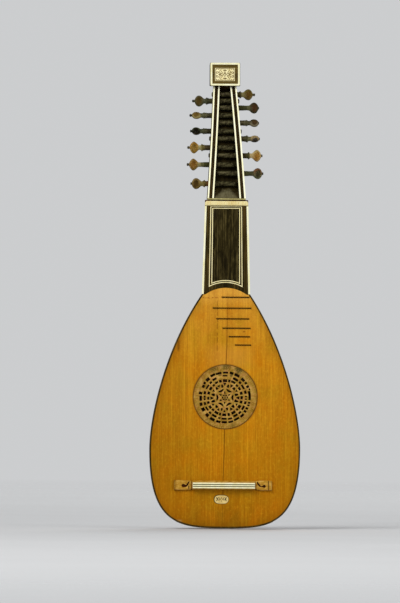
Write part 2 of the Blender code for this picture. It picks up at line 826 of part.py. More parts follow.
def make_nail(neck, neck_block):
    """The nail driven through the block into the neck, and the hole for it in both."""
    foot = NECK_BLOCK_FOOT - GAP
    tip = foot + NAIL_LENGTH
    side = (0.0, NAIL_DEPTH, foot)
    hole = rods(
        "nail_hole",
        [
            (
                side,
                (0.0, NAIL_DEPTH, tip + GAP),
                NAIL_RADIUS + GAP,
                NAIL_RADIUS + GAP,
            )
        ],
        PEG_STEPS,
        None,
        cutters,
    )
    cut(neck, hole)
    cut(neck_block, hole)
    profile = [
        (0.0, tip),
        (0.6 * NAIL_RADIUS, tip),
        (NAIL_RADIUS, tip - 4.0 * MM),
        (NAIL_RADIUS, foot),
        (NAIL_HEAD_RADIUS, foot),
        (0.9 * NAIL_HEAD_RADIUS, foot - NAIL_HEAD_THICKNESS),
        (0.0, foot - NAIL_HEAD_THICKNESS),
    ]
    nail = turned_piece("neck_nail", profile, PEG_STEPS, IRON)
    nail.location = (0.0, NAIL_DEPTH, 0.0)
    return nail


def turned_piece(name, profile, steps, material):
    """A round piece about its own Z axis, from its outer side listed from top to bottom."""
    mesh = bpy.data.meshes.new(name)
    shell = bmesh.new()
    verts = [shell.verts.new((radius, 0.0, height)) for radius, height in profile]
    for upper, lower in zip(verts, verts[1:]):
        shell.edges.new((upper, lower))
    shell.to_mesh(mesh)
    shell.free()
    piece = add_object(name, mesh, material)
    screw = piece.modifiers.new("turning", "SCREW")
    screw.axis = "Z"
    screw.steps = steps
    screw.render_steps = steps
    screw.use_merge_vertices = True
    screw.merge_threshold = 0.00001
    screw.use_smooth_shade = True
    return piece


def frame_outline(top_half, foot_half, top, apex):
    """A frame with straight sides, a level top and a foot arched like the soundboard's tongue."""
    radius = apex - LINE_ARC_CENTRE
    foot = LINE_ARC_CENTRE + math.sqrt(radius**2 - foot_half**2)
    sides = [(top_half, top), (-top_half, top)]
    return sides + list(reversed(arch(radius, LINE_ARC_CENTRE, foot)))


def make_inlay_line(label, board, top_half, foot_half, top, apex):
    """A closed ivory line let into the fingerboard, and the groove that takes it."""
    outlines = []
    for grow in (
        LINE_WIDTH / 2.0,
        -LINE_WIDTH / 2.0,
        LINE_WIDTH / 2.0 + INLAY_GAP,
        -LINE_WIDTH / 2.0 - INLAY_GAP,
    ):
        outlines.append(frame_outline(top_half + grow, foot_half + grow, top + grow, apex - grow))
    front_plate("inlay_line_" + label, outlines[:2], 0.0, LINE_THICKNESS, IVORY)
    depth = LINE_THICKNESS + INLAY_GAP
    groove = front_plate("groove_" + label, outlines[2:], -GAP, depth, None, cutters)
    cut(board, to_mesh(groove))


def make_fingerboard():
    """The board, hollowed at its foot for the soundboard's arch and grooved for both lines."""
    margin = EDGE_STRIP_WIDTH + INLAY_GAP
    foot_half = neck_half_width(BOARD_FOOT) - margin
    top_half = neck_half_width(BOARD_TOP) - margin
    hollow = arch(ARCH_RADIUS + INLAY_GAP, ARCH_CENTRE, BOARD_FOOT)
    outline = [
        (foot_half, BOARD_FOOT),
        (top_half, BOARD_TOP),
        (-top_half, BOARD_TOP),
        (-foot_half, BOARD_FOOT),
    ] + list(reversed(hollow))
    board = to_mesh(
        front_plate("fingerboard", [outline], 0.0, FINGERBOARD_THICKNESS, FINGERBOARD_WOOD)
    )
    make_inlay_line(
        "outer",
        board,
        OUTER_LINE_TOP_HALF,
        OUTER_LINE_FOOT_HALF,
        BOARD_TOP - OUTER_LINE_MARGIN,
        ARCH_TOP + OUTER_LINE_RISE,
    )
    make_inlay_line(
        "inner",
        board,
        INNER_LINE_TOP_HALF,
        INNER_LINE_FOOT_HALF,
        BOARD_TOP - INNER_LINE_MARGIN,
        ARCH_TOP + INNER_LINE_RISE,
    )
    return board


def make_edge_strip(name, side):
    """The ivory strip along one edge of the fingerboard."""
    foot_half = neck_half_width(BOARD_FOOT)
    top_half = neck_half_width(BOARD_TOP)
    outline = [
        (side * foot_half, BOARD_FOOT),
        (side * top_half, BOARD_TOP),
        (side * (top_half - EDGE_STRIP_WIDTH), BOARD_TOP),
        (side * (foot_half - EDGE_STRIP_WIDTH), BOARD_FOOT),
    ]
    return front_plate(name, [outline], 0.0, FINGERBOARD_THICKNESS, IVORY)


def string_places(spacing):
    """Where the strings lie across the instrument: pairs, evenly spaced."""
    places = []
    for course in range(COURSE_COUNT):
        middle = (course - (COURSE_COUNT - 1) / 2.0) * spacing
        places.append(middle - PAIR_SPACING / 2.0)
        places.append(middle + PAIR_SPACING / 2.0)
    return places


def make_nut():
    """The bone nut, with a groove for each string."""
    half = neck_half_width(NUT_FOOT)
    treble = [(half, NUT_FOOT), (half, NUT_TOP - NUT_CORNER), (half - NUT_CORNER, NUT_TOP)]
    outline = treble + mirrored(treble)
    nut = to_mesh(front_plate("nut", [outline], -NUT_PROUD, FINGERBOARD_THICKNESS, BONE))
    bevel(nut, NUT_BEVEL)
    spans = [
        (
            (across, -NUT_PROUD, NUT_FOOT - GAP),
            (across, -NUT_PROUD, NUT_TOP + GAP),
            STRING_RADIUS,
            STRING_RADIUS,
        )
        for across in string_places(COURSE_SPACING)
    ]
    cut(nut, rods("nut_grooves", spans, 8, None, cutters))
    return nut


def make_body_fret(number):
    """A wooden fret glued across the soundboard."""
    left, right, height = FRET_PLACES[number]
    return box_piece(
        "body_fret_%02d" % number,
        (left, -INLAY_GAP - FRET_PROUD, height - FRET_WIDTH / 2.0),
        (right, -INLAY_GAP, height + FRET_WIDTH / 2.0),
        EBONY,
    )


# Pegbox


def pegbox_share(along):
    """How far along the pegbox's front a place lies, from 0 at the foot to 1 at the top."""
    return along / PEGBOX_LENGTH


def pegbox_point(along, depth):
    """Depth and height of a place in the pegbox, whose front line is an arc that leans back."""
    amount = pegbox_share(along)
    lean = share(PEGBOX_LEAN_FOOT, PEGBOX_LEAN_TOP, amount)
    back = PEGBOX_SETBACK + PEGBOX_RADIUS * (math.cos(PEGBOX_LEAN_FOOT) - math.cos(lean))
    up = PEGBOX_FOOT + PEGBOX_RADIUS * (math.sin(lean) - math.sin(PEGBOX_LEAN_FOOT))
    square = PEGBOX_LEAN_TOP * amount
    return (back + depth * math.cos(square), up - depth * math.sin(square))


def pegbox_depth(along):
    """Depth of the pegbox from its front to its back."""
    return share(PEGBOX_DEPTH_FOOT, PEGBOX_DEPTH_TOP, pegbox_share(along))


def pegbox_half_width(height):
    """Half width over the cheeks, which run straight in the front view."""
    amount = (height - PEGBOX_FOOT) / (PEGBOX_TOP - PEGBOX_FOOT)
    return share(PEGBOX_HALF_WIDTH_FOOT, PEGBOX_HALF_WIDTH_TOP, amount)


def pegbox_stations(start, end, steps=ARC_STEPS):
    """Evenly spaced places along the pegbox."""
    return [share(start, end, index / steps) for index in range(steps + 1)]


def cheek_ring(side, along, corners):
    """A section of a cheek at one station. Each corner is a distance in from the side and a depth."""
    ring = []
    for inset, depth in corners:
        back, up = pegbox_point(along, depth)
        ring.append(Vector((side * (pegbox_half_width(up) - inset), back, up)))
    return ring


def make_cheek(name, side, foot_rebate, peg_holes):
    """One side of the pegbox, rebated along both front edges and bored for the pegs."""
    strip = CHEEK_STRIP_WIDTH + INLAY_GAP
    sunk = CHEEK_STRIP_THICKNESS + INLAY_GAP
    rings = []
    for along in [0.0] + pegbox_stations(STRIP_START, PEGBOX_LENGTH):
        corners = (
            (0.0, sunk),
            (strip, sunk),
            (strip, 0.0),
            (CHEEK_THICKNESS - strip, 0.0),
            (CHEEK_THICKNESS - strip, sunk),
            (CHEEK_THICKNESS, sunk),
            (CHEEK_THICKNESS, pegbox_depth(along)),
            (0.0, pegbox_depth(along)),
        )
        rings.append(cheek_ring(side, along, corners))
    cheek = lofted_piece(name, rings, STAINED_WOOD)
    cut(cheek, foot_rebate)
    cut(cheek, peg_holes)
    return cheek


def make_cheek_inlay(name, side, inset):
    """An ivory strip let into the front edge of a cheek."""
    corners = (
        (inset, 0.0),
        (inset + CHEEK_STRIP_WIDTH, 0.0),
        (inset + CHEEK_STRIP_WIDTH, CHEEK_STRIP_THICKNESS),
        (inset, CHEEK_STRIP_THICKNESS),
    )
    stations = pegbox_stations(STRIP_START, PEGBOX_LENGTH)
    rings = [cheek_ring(side, along, corners) for along in stations]
    return lofted_piece(name, rings, IVORY)


def make_foot_rebate():
    """The step across the foot of both cheeks that takes the foot strip."""
    reach = PEGBOX_HALF_WIDTH_FOOT + GAP
    return box_piece(
        "foot_rebate",
        (-reach, -GAP, PEGBOX_FOOT - GAP),
        (reach, PEGBOX_SETBACK + FOOT_REBATE, FOOT_REBATE_TOP),
        None,
        cutters,
    )


def make_pegbox_back():
    """The closed back between the cheeks, with a floor that rises to the nut."""
    foot = [pegbox_point(0.0, FOOT_REBATE), pegbox_point(STRIP_START, FOOT_REBATE)]
    floor = []
    for index in range(ARC_STEPS // 2 + 1):
        turn = math.pi / 2.0 * index * 2 / ARC_STEPS
        along = share(STRIP_START, FOOT_SLOPE_END, math.sin(turn))
        full = pegbox_depth(along) - BACK_THICKNESS
        floor.append(pegbox_point(along, full * (1.0 - math.cos(turn))))
    upper = pegbox_stations(FOOT_SLOPE_END, PEGBOX_LENGTH)[1:]
    floor += [pegbox_point(along, pegbox_depth(along) - BACK_THICKNESS) for along in upper]
    stations = pegbox_stations(0.0, PEGBOX_LENGTH)
    back = [pegbox_point(along, pegbox_depth(along)) for along in reversed(stations)]
    outline = foot + floor + back
    piece = flat_piece(
        "pegbox_back", [outline], 2.0 * MM, STAINED_WOOD, (0.0, 0.0, 0.0), FACING_SIDE
    )
    piece = to_mesh(piece)
    for vert in piece.data.vertices:
        half = pegbox_half_width(vert.co.z) - CHEEK_THICKNESS - GAP
        vert.co.x = math.copysign(half, vert.co.x)
    return piece


def make_foot_strip():
    """The thin ivory strip across the foot of the pegbox, above the nut."""
    low = PEGBOX_FOOT + GAP
    half = pegbox_half_width(low)
    near = PEGBOX_SETBACK
    return box_piece(
        "pegbox_foot_strip",
        (-half, near, low),
        (half, near + CHEEK_STRIP_THICKNESS, low + FOOT_STRIP_HEIGHT),
        IVORY,
    )


# Pegs


def peg_places():
    """Name, side, depth, height and rest turn of each peg, from the nut upwards."""
    places = []
    for index in range(PEG_COUNT):
        even = index / (PEG_COUNT - 1)
        crowded = even + PEG_CROWDING * even * (1.0 - even)
        side = -1.0 if index % 2 == 0 else 1.0
        name = "peg_%s_%d" % ("bass" if side < 0.0 else "treble", index // 2 + 1)
        along = PEGBOX_LENGTH * share(FIRST_PEG_SHARE, LAST_PEG_SHARE, crowded)
        along += PEG_SHIFTS.get(name, 0.0)
        depth, height = pegbox_point(along, PEG_DEPTH_SHARE * pegbox_depth(along))
        places.append((name, side, depth, height, PEG_TURNS.get(name, 0.0)))
    return places


def make_peg_holes(places):
    """Tapered holes through both cheeks, one mesh of separate rods."""
    spans = []
    for _, side, depth, height, _ in places:
        half = pegbox_half_width(height)
        reach = half + PEG_HOLE_REACH
        start = (side * reach, depth, height)
        end = (-side * reach, depth, height)
        radius = PEG_RADIUS + PEG_CLEARANCE
        far_radius = PEG_RADIUS - PEG_TAPER * (reach + half) + PEG_CLEARANCE
        spans.append((start, end, radius, far_radius))
    return rods("peg_holes", spans, PEG_STEPS, None, cutters)


def peg_profile(out, tip):
    """Radii and places along a peg, from its pip inwards. Zero is the cheek's outer face."""
    tip_radius = PEG_RADIUS + PEG_TAPER * tip
    stem = PEG_RADIUS
    head_end = out + PEG_HEAD_LENGTH
    disc = out + PEG_DISC_PLACE
    collar = out + PEG_COLLAR_PLACE
    return [
        (0.0, head_end),
        (0.42 * stem, head_end - 0.4 * MM),
        (0.56 * stem, head_end - 1.3 * MM),
        (0.36 * stem, disc + PEG_DISC_HALF_LENGTH + 0.2 * MM),
        (0.36 * stem, disc),
        (0.80 * stem, disc - 0.8 * PEG_DISC_HALF_LENGTH),
        (1.0 * stem, collar + 1.8 * MM),
        (PEG_COLLAR_RADIUS, collar + 0.6 * MM),
        (PEG_COLLAR_RADIUS, collar - 0.5 * MM),
        (1.05 * stem, collar - 1.5 * MM),
        (stem, 0.0),
        (tip_radius, tip + 0.4 * MM),
        (0.8 * tip_radius, tip),
        (0.0, tip),
    ]


def make_peg_disc(name, out):
    """The flat oval grip of a peg, chamfered all round, laid along the peg's axis."""
    shell = bmesh.new()
    bmesh.ops.create_cone(
        shell,
        cap_ends=True,
        segments=12,
        radius1=PEG_DISC_RADIUS,
        radius2=PEG_DISC_RADIUS,
        depth=PEG_DISC_THICKNESS,
        matrix=Matrix.Rotation(math.pi / 2.0, 4, "X"),
    )
    flatten = Vector((1.0, 1.0, PEG_DISC_HALF_LENGTH / PEG_DISC_RADIUS))
    bmesh.ops.scale(shell, vec=flatten, verts=shell.verts)
    bmesh.ops.translate(shell, vec=(0.0, 0.0, out + PEG_DISC_PLACE), verts=shell.verts)
    mesh = bpy.data.meshes.new(name)
    shell.to_mesh(mesh)
    shell.free()
    disc = add_object(name, mesh, None, cutters)
    bevel(disc, PEG_DISC_BEVEL, angle=math.radians(60.0))
    return disc


def make_peg(name, side, depth, height, turn):
    """A lute peg whose origin lies on its axis at the cheek's outer face."""
    half = pegbox_half_width(height)
    out, tip_proud = PEG_FITS[name]
    profile = peg_profile(out, -2.0 * half - tip_proud)
    peg = turned_piece(name, profile, PEG_STEPS, PEG_WOOD)
    disc = make_peg_disc(name + "_disc", out)
    join(peg, disc)
    facing = Matrix.Rotation(turn, 4, "X") @ Matrix.Rotation(side * math.pi / 2.0, 4, "Y")
    for piece in (peg, disc):
        piece.location = (side * half, depth, height)
        piece.rotation_euler = facing.to_euler()
    return peg


# Finial


def finial_face(across, up, out):
    """A place on the finial's face: up along the face from its foot, and out in front of it."""
    foot_depth = pegbox_point(PEGBOX_LENGTH, 0.0)[0] - FINIAL_PROUD
    return Vector(
        (
            across,
            foot_depth + up * math.sin(FINIAL_LEAN) - out * math.cos(FINIAL_LEAN),
            FINIAL_FOOT + up * math.cos(FINIAL_LEAN) + out * math.sin(FINIAL_LEAN),
        )
    )


def make_finial_block():
    """The block behind the finial's face, with a narrower foot on the pegbox's sloping end."""
    face_foot = finial_face(0.0, 0.0, 0.0)
    face_top = finial_face(0.0, FINIAL_HEIGHT, 0.0)
    back_top = finial_face(0.0, FINIAL_HEIGHT, -FINIAL_THICKNESS)
    lift = Vector((math.sin(PEGBOX_LEAN_TOP), math.cos(PEGBOX_LEAN_TOP))) * GAP
    seat_front = Vector(pegbox_point(PEGBOX_LENGTH, GAP)) + lift
    seat_back = Vector(pegbox_point(PEGBOX_LENGTH, PEGBOX_DEPTH_TOP)) + lift
    upper = [
        (face_foot.y, FINIAL_FOOT),
        (seat_back.x, FINIAL_FOOT),
        (back_top.y, back_top.z),
        (face_top.y, face_top.z),
    ]
    overlap = FINIAL_FOOT + FINIAL_PROUD / 2.0
    lower = [
        tuple(seat_front),
        tuple(seat_back),
        (seat_back.x, overlap),
        (seat_front.x, overlap),
    ]
    width = 2.0 * FINIAL_HALF_WIDTH
    origin = (0.0, 0.0, 0.0)
    block = to_mesh(
        flat_piece("finial_block", [upper], width, STAINED_WOOD, origin, FACING_SIDE)
    )
    bevel(block, FINIAL_BEVEL)
    width = 2.0 * PEGBOX_HALF_WIDTH_TOP
    foot = flat_piece("finial_foot", [lower], width, None, origin, FACING_SIDE, cutters)
    join(block, to_mesh(foot))
    return block


def rounded_rectangle(half_width, half_height, radius, steps=3):
    """A closed outline with round corners, about its middle."""
    points = []
    corners = ((1, 1, 0.0), (-1, 1, 90.0), (-1, -1, 180.0), (1, -1, 270.0))
    for side, end, start in corners:
        for index in range(steps + 1):
            angle = math.radians(start + 90.0 * index / steps)
            points.append(
                (
                    side * (half_width - radius) + radius * math.cos(angle),
                    end * (half_height - radius) + radius * math.sin(angle),
                )
            )
    return points


def finial_plate(name, outlines, thickness, material):
    """A plate laid on the finial's face."""
    place = finial_face(0.0, FINIAL_HEIGHT / 2.0, INLAY_GAP + thickness / 2.0)
    facing = (math.pi / 2.0 - FINIAL_LEAN, 0.0, 0.0)
    return flat_piece(name, outlines, thickness, material, place, facing)


def make_finial_plates():
    """The ivory border round the face and the plaque inside it."""
    half_width = FINIAL_HALF_WIDTH - BORDER_MARGIN
    half_height = FINIAL_HEIGHT / 2.0 - BORDER_MARGIN
    outer = rounded_rectangle(half_width, half_height, BORDER_CORNER)
    inner = rounded_rectangle(
        half_width - BORDER_WIDTH, half_height - BORDER_WIDTH, BORDER_CORNER / 3.0
    )
    finial_plate("finial_border", [outer, inner], BORDER_THICKNESS, IVORY)
    inset = BORDER_WIDTH + PLAQUE_FRAME
    plaque = rounded_rectangle(
        half_width - inset, half_height - inset - PLAQUE_DROP, BORDER_CORNER / 3.0
    )
    plaque = [(across, along - PLAQUE_DROP) for across, along in plaque]
    finial_plate("finial_plaque", [plaque], FINIAL_PLAQUE_THICKNESS, IVORY)


# Bridge


def comma(side):
    """The curled opening in a bridge wing: a round drop with a tail to the upper inner corner."""
    drop = Vector(COMMA_PLACE)
    tail = (
        drop,
        drop + COMMA_SWING,
        COMMA_BEND,
        COMMA_END,
    )
    upper = []
    lower = []
    for index in range(1, 7):
        amount = index / 6.0
        point, direction = bezier(tail, amount)
        normal = Vector((-direction.y, direction.x))
        half = share(0.55 * COMMA_RADIUS, 0.35 * MM, amount)
        lower.append(point + normal * half)
        upper.append(point - normal * half)
    round_part = []
    for index in range(COMMA_STEPS + 1):
        angle = COMMA_START - COMMA_TURN * index / COMMA_STEPS
        round_part.append(drop + COMMA_RADIUS * Vector((math.cos(angle), math.sin(angle))))
    outline = [tuple(point) for point in round_part]
    outline += [tuple(point) for point in lower]
    outline += [tuple(point) for point in reversed(upper)]
    return [
        (side * across + BRIDGE_OFFSET, along + BRIDGE_HEIGHT) for across, along in outline
    ]


def bridge_outline():
    """The foot of the bridge: a plate that swells from the block into two wings."""
    side = [
        (BRIDGE_BLOCK_HALF_LENGTH, BRIDGE_BLOCK_FOOT_HALF),
        (share(BRIDGE_BLOCK_HALF_LENGTH, BRIDGE_HALF_LENGTH, 0.3), 0.96 * BRIDGE_WING_HALF),
        (share(BRIDGE_BLOCK_HALF_LENGTH, BRIDGE_HALF_LENGTH, 0.6), BRIDGE_WING_HALF),
        (BRIDGE_HALF_LENGTH, BRIDGE_WING_HALF),
    ]
    upper = mirrored(side) + side
    lower = [(across, -along) for across, along in reversed(upper)]
    return [
        (across + BRIDGE_OFFSET, along + BRIDGE_HEIGHT) for across, along in upper + lower
    ]


def make_bridge():
    """Wings, string block and end bars in one piece, with a hole for each string."""
    back = -INLAY_GAP
    plate = front_plate(
        "bridge",
        [bridge_outline(), comma(1.0), comma(-1.0)],
        back - BRIDGE_WING_THICKNESS,
        back,
        PEARWOOD,
    )
    bridge = to_mesh(plate)
    block = box_piece(
        "bridge_block",
        (BRIDGE_OFFSET - BRIDGE_BLOCK_HALF_LENGTH, -BRIDGE_BLOCK_PROUD, -1.0),
        (BRIDGE_OFFSET + BRIDGE_BLOCK_HALF_LENGTH, back - GAP, 1.0),
        None,
        cutters,
    )
    for vert in block.data.vertices:
        front = vert.co.y < -BRIDGE_BLOCK_PROUD / 2.0
        half = BRIDGE_BLOCK_TOP_HALF if front else BRIDGE_BLOCK_FOOT_HALF
        vert.co.z = BRIDGE_HEIGHT + math.copysign(half, vert.co.z)
    join(bridge, block)
    for side, hand in ((-1.0, "bass"), (1.0, "treble")):
        ends = (
            BRIDGE_OFFSET + side * (BRIDGE_HALF_LENGTH - BRIDGE_BAR_WIDTH - GAP),
            BRIDGE_OFFSET + side * (BRIDGE_HALF_LENGTH - GAP),
        )
        half = BRIDGE_WING_HALF - GAP
        bar = box_piece(
            "bridge_bar_" + hand,
            (min(ends), -BRIDGE_BAR_PROUD, BRIDGE_HEIGHT - half),
            (max(ends), back - GAP, BRIDGE_HEIGHT + half),
            None,
            cutters,
        )
        join(bridge, bar)
    hole_depth = -(BRIDGE_BLOCK_PROUD + BRIDGE_WING_THICKNESS) / 2.0
    spans = [
        (
            (across + BRIDGE_OFFSET, hole_depth, BRIDGE_HEIGHT - BRIDGE_WING_HALF),
            (across + BRIDGE_OFFSET, hole_depth, BRIDGE_HEIGHT + BRIDGE_WING_HALF),
            STRING_HOLE_RADIUS,
            STRING_HOLE_RADIUS,
        )
        for across in string_places(BRIDGE_COURSE_SPACING)
    ]
    cut(bridge, rods("string_holes", spans, 6, None, cutters))
    return bridge


def make_bridge_top():
    """The ivory plate on the bridge, with two grooves along it that part it into three bands."""
    half = BRIDGE_TOP_HALF_WIDTH
    band = half / 3.0
    groove = BRIDGE_TOP_GROOVE / 2.0
    full = BRIDGE_TOP_THICKNESS / 2.0
    dip = 0.0
    outline = [(-full, -half), (-full, half), (full, half)]
    for middle in (band, -band):
        outline += [
            (full, middle + groove),
            (dip, middle + groove),
            (dip, middle - groove),
            (full, middle - groove),
        ]
    outline.append((full, -half))
    place = (
        BRIDGE_TOP_OFFSET,
        -BRIDGE_BLOCK_PROUD - INLAY_GAP - full,
        BRIDGE_HEIGHT,
    )
    facing = (math.pi / 2.0, 0.0, -math.pi / 2.0)
    length = 2.0 * BRIDGE_TOP_HALF_LENGTH
    return flat_piece("bridge_top", [outline], length, IVORY, place, facing)


def make_oval_plaque():
    """The small oval plate below the bridge."""
    outline = [
        (PLAQUE_OFFSET + PLAQUE_HALF_LENGTH * across, PLAQUE_HEIGHT + PLAQUE_HALF_WIDTH * along)
        for across, along in circle(1.0, (0.0, 0.0), 24)
    ]
    return front_plate(
        "oval_plaque", [outline], -INLAY_GAP - PLAQUE_THICKNESS, -INLAY_GAP, BONE
    )


# Assembly


for rib_number in range(1, RIB_COUNT + 1):
    make_rib(rib_number)
make_end_clasp()
neck_block_piece = make_neck_block()
make_tail_block()
make_brace("brace_1", ROSE_HEIGHT - ROSE_HOLE_RADIUS - ROSE_BRACE_MARGIN)
make_brace("brace_2", ROSE_HEIGHT + ROSE_HOLE_RADIUS + ROSE_BRACE_MARGIN)
make_brace("brace_3", NECK_BLOCK_FOOT - NECK_BRACE_MARGIN)

make_soundboard()
make_edging()
make_rose()

neck_piece = make_neck()
make_nail(neck_piece, neck_block_piece)
make_fingerboard()
make_edge_strip("fingerboard_edge_bass", -1.0)
make_edge_strip("fingerboard_edge_treble", 1.0)
make_nut()
for fret_number in FRET_PLACES:
    make_body_fret(fret_number)

pegs = peg_places()
hole_cutter = make_peg_holes(pegs)
rebate_cutter = make_foot_rebate()
for hand, cheek_side in (("bass", -1.0), ("treble", 1.0)):
    make_cheek("pegbox_cheek_" + hand, cheek_side, rebate_cutter, hole_cutter)
    make_cheek_inlay("cheek_inlay_outer_" + hand, cheek_side, 0.0)
    make_cheek_inlay("cheek_inlay_inner_" + hand, cheek_side, CHEEK_THICKNESS - CHEEK_STRIP_WIDTH)
make_pegbox_back()
make_foot_strip()
for peg_name, peg_side, peg_depth, peg_height, peg_turn in pegs:
    make_peg(peg_name, peg_side, peg_depth, peg_height, peg_turn)
make_finial_block()
make_finial_plates()

make_bridge()
make_bridge_top()
make_oval_plaque()

# The hanging point lies on the back of the pegbox, close under the finial
HANGING_PLACE = PEGBOX_LENGTH - 4.0 * MM
hanging_depth, hanging_height = pegbox_point(HANGING_PLACE, pegbox_depth(HANGING_PLACE))
hanger = bpy.data.objects.new("hanging_point", None)
instrument.objects.link(hanger)
hanger.location = (0.0, -hanging_depth, -hanging_height)
for piece in list(instrument.objects) + list(cutters.objects):
    if piece is not hanger:
        piece.parent = hanger
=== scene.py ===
"""The looks of the lombardic mandolin, laid over its CAD frame.

Places on the instrument are written in millimetres: across it, behind the soundboard's face, and
above the tail. at() turns them into the row frame.
"""

import json
import math
import random

import bmesh
import bpy
from mathutils import Matrix, Vector
from mathutils.geometry import delaunay_2d_cdt
from mathutils.kdtree import KDTree


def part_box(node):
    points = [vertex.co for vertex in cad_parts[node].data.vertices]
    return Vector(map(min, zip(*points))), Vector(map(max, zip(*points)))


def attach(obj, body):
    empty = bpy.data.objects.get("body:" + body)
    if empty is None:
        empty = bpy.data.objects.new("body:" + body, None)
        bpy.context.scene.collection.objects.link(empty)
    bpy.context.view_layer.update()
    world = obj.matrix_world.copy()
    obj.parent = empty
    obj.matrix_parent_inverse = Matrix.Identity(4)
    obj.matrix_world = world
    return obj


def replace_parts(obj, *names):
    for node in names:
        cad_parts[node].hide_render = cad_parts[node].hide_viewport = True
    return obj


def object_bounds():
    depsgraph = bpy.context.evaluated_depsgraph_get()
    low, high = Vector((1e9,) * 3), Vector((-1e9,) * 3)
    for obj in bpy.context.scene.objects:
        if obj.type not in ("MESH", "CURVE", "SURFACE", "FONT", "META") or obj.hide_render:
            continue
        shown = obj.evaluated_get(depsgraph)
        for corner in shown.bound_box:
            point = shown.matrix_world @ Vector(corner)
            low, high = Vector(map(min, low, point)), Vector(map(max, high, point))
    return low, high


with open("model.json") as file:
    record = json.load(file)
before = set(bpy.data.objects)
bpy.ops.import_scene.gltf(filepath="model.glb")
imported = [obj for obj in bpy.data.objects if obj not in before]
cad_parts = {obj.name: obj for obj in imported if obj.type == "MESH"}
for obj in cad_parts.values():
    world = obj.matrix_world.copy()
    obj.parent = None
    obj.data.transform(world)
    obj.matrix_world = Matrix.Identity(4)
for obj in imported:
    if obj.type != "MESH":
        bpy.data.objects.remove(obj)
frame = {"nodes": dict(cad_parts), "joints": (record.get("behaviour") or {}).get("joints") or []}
cad_low, cad_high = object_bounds()

MM = 0.001
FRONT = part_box("soundboard")[0].y
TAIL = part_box("soundboard_edging")[0].z
BODY = "instrument"


def at(across, behind, up):
    """A place on the instrument, from millimetres, in the row frame."""
    return Vector((across * MM, FRONT + behind * MM, TAIL + up * MM))


# Sizes of the body, as in the CAD

BODY_HEIGHT = 269.6
BODY_HALF_WIDTH = 87.0
WIDEST = 90.8
DEPTH_RATIO = 75.0 / BODY_HALF_WIDTH
NECK_HALF = 27.85
SHOULDER = 0.407 * (BODY_HEIGHT - WIDEST)
SHOULDER_ANGLE = math.radians(34.0)
BOARD_INSET = 1.05
RIM = 2.3
ARCH_RADIUS = 40.0
ARCH_CENTRE = BODY_HEIGHT + 7.5 - ARCH_RADIUS
LINE_ARC_CENTRE = BODY_HEIGHT + 7.5 - 33.8
ROSE_UP = 151.4
ROSE_RADIUS = 37.35
ROSE_HOLE = 37.5
RIBS = 11


# Materials


def paint(red, green, blue):
    """A linear colour from one as the eye reads it, 0 to 255."""
    channels = []
    for value in (red, green, blue):
        value /= 255.0
        channels.append(value / 12.92 if value <= 0.04045 else ((value + 0.055) / 1.055) ** 2.4)
    return (*channels, 1.0)


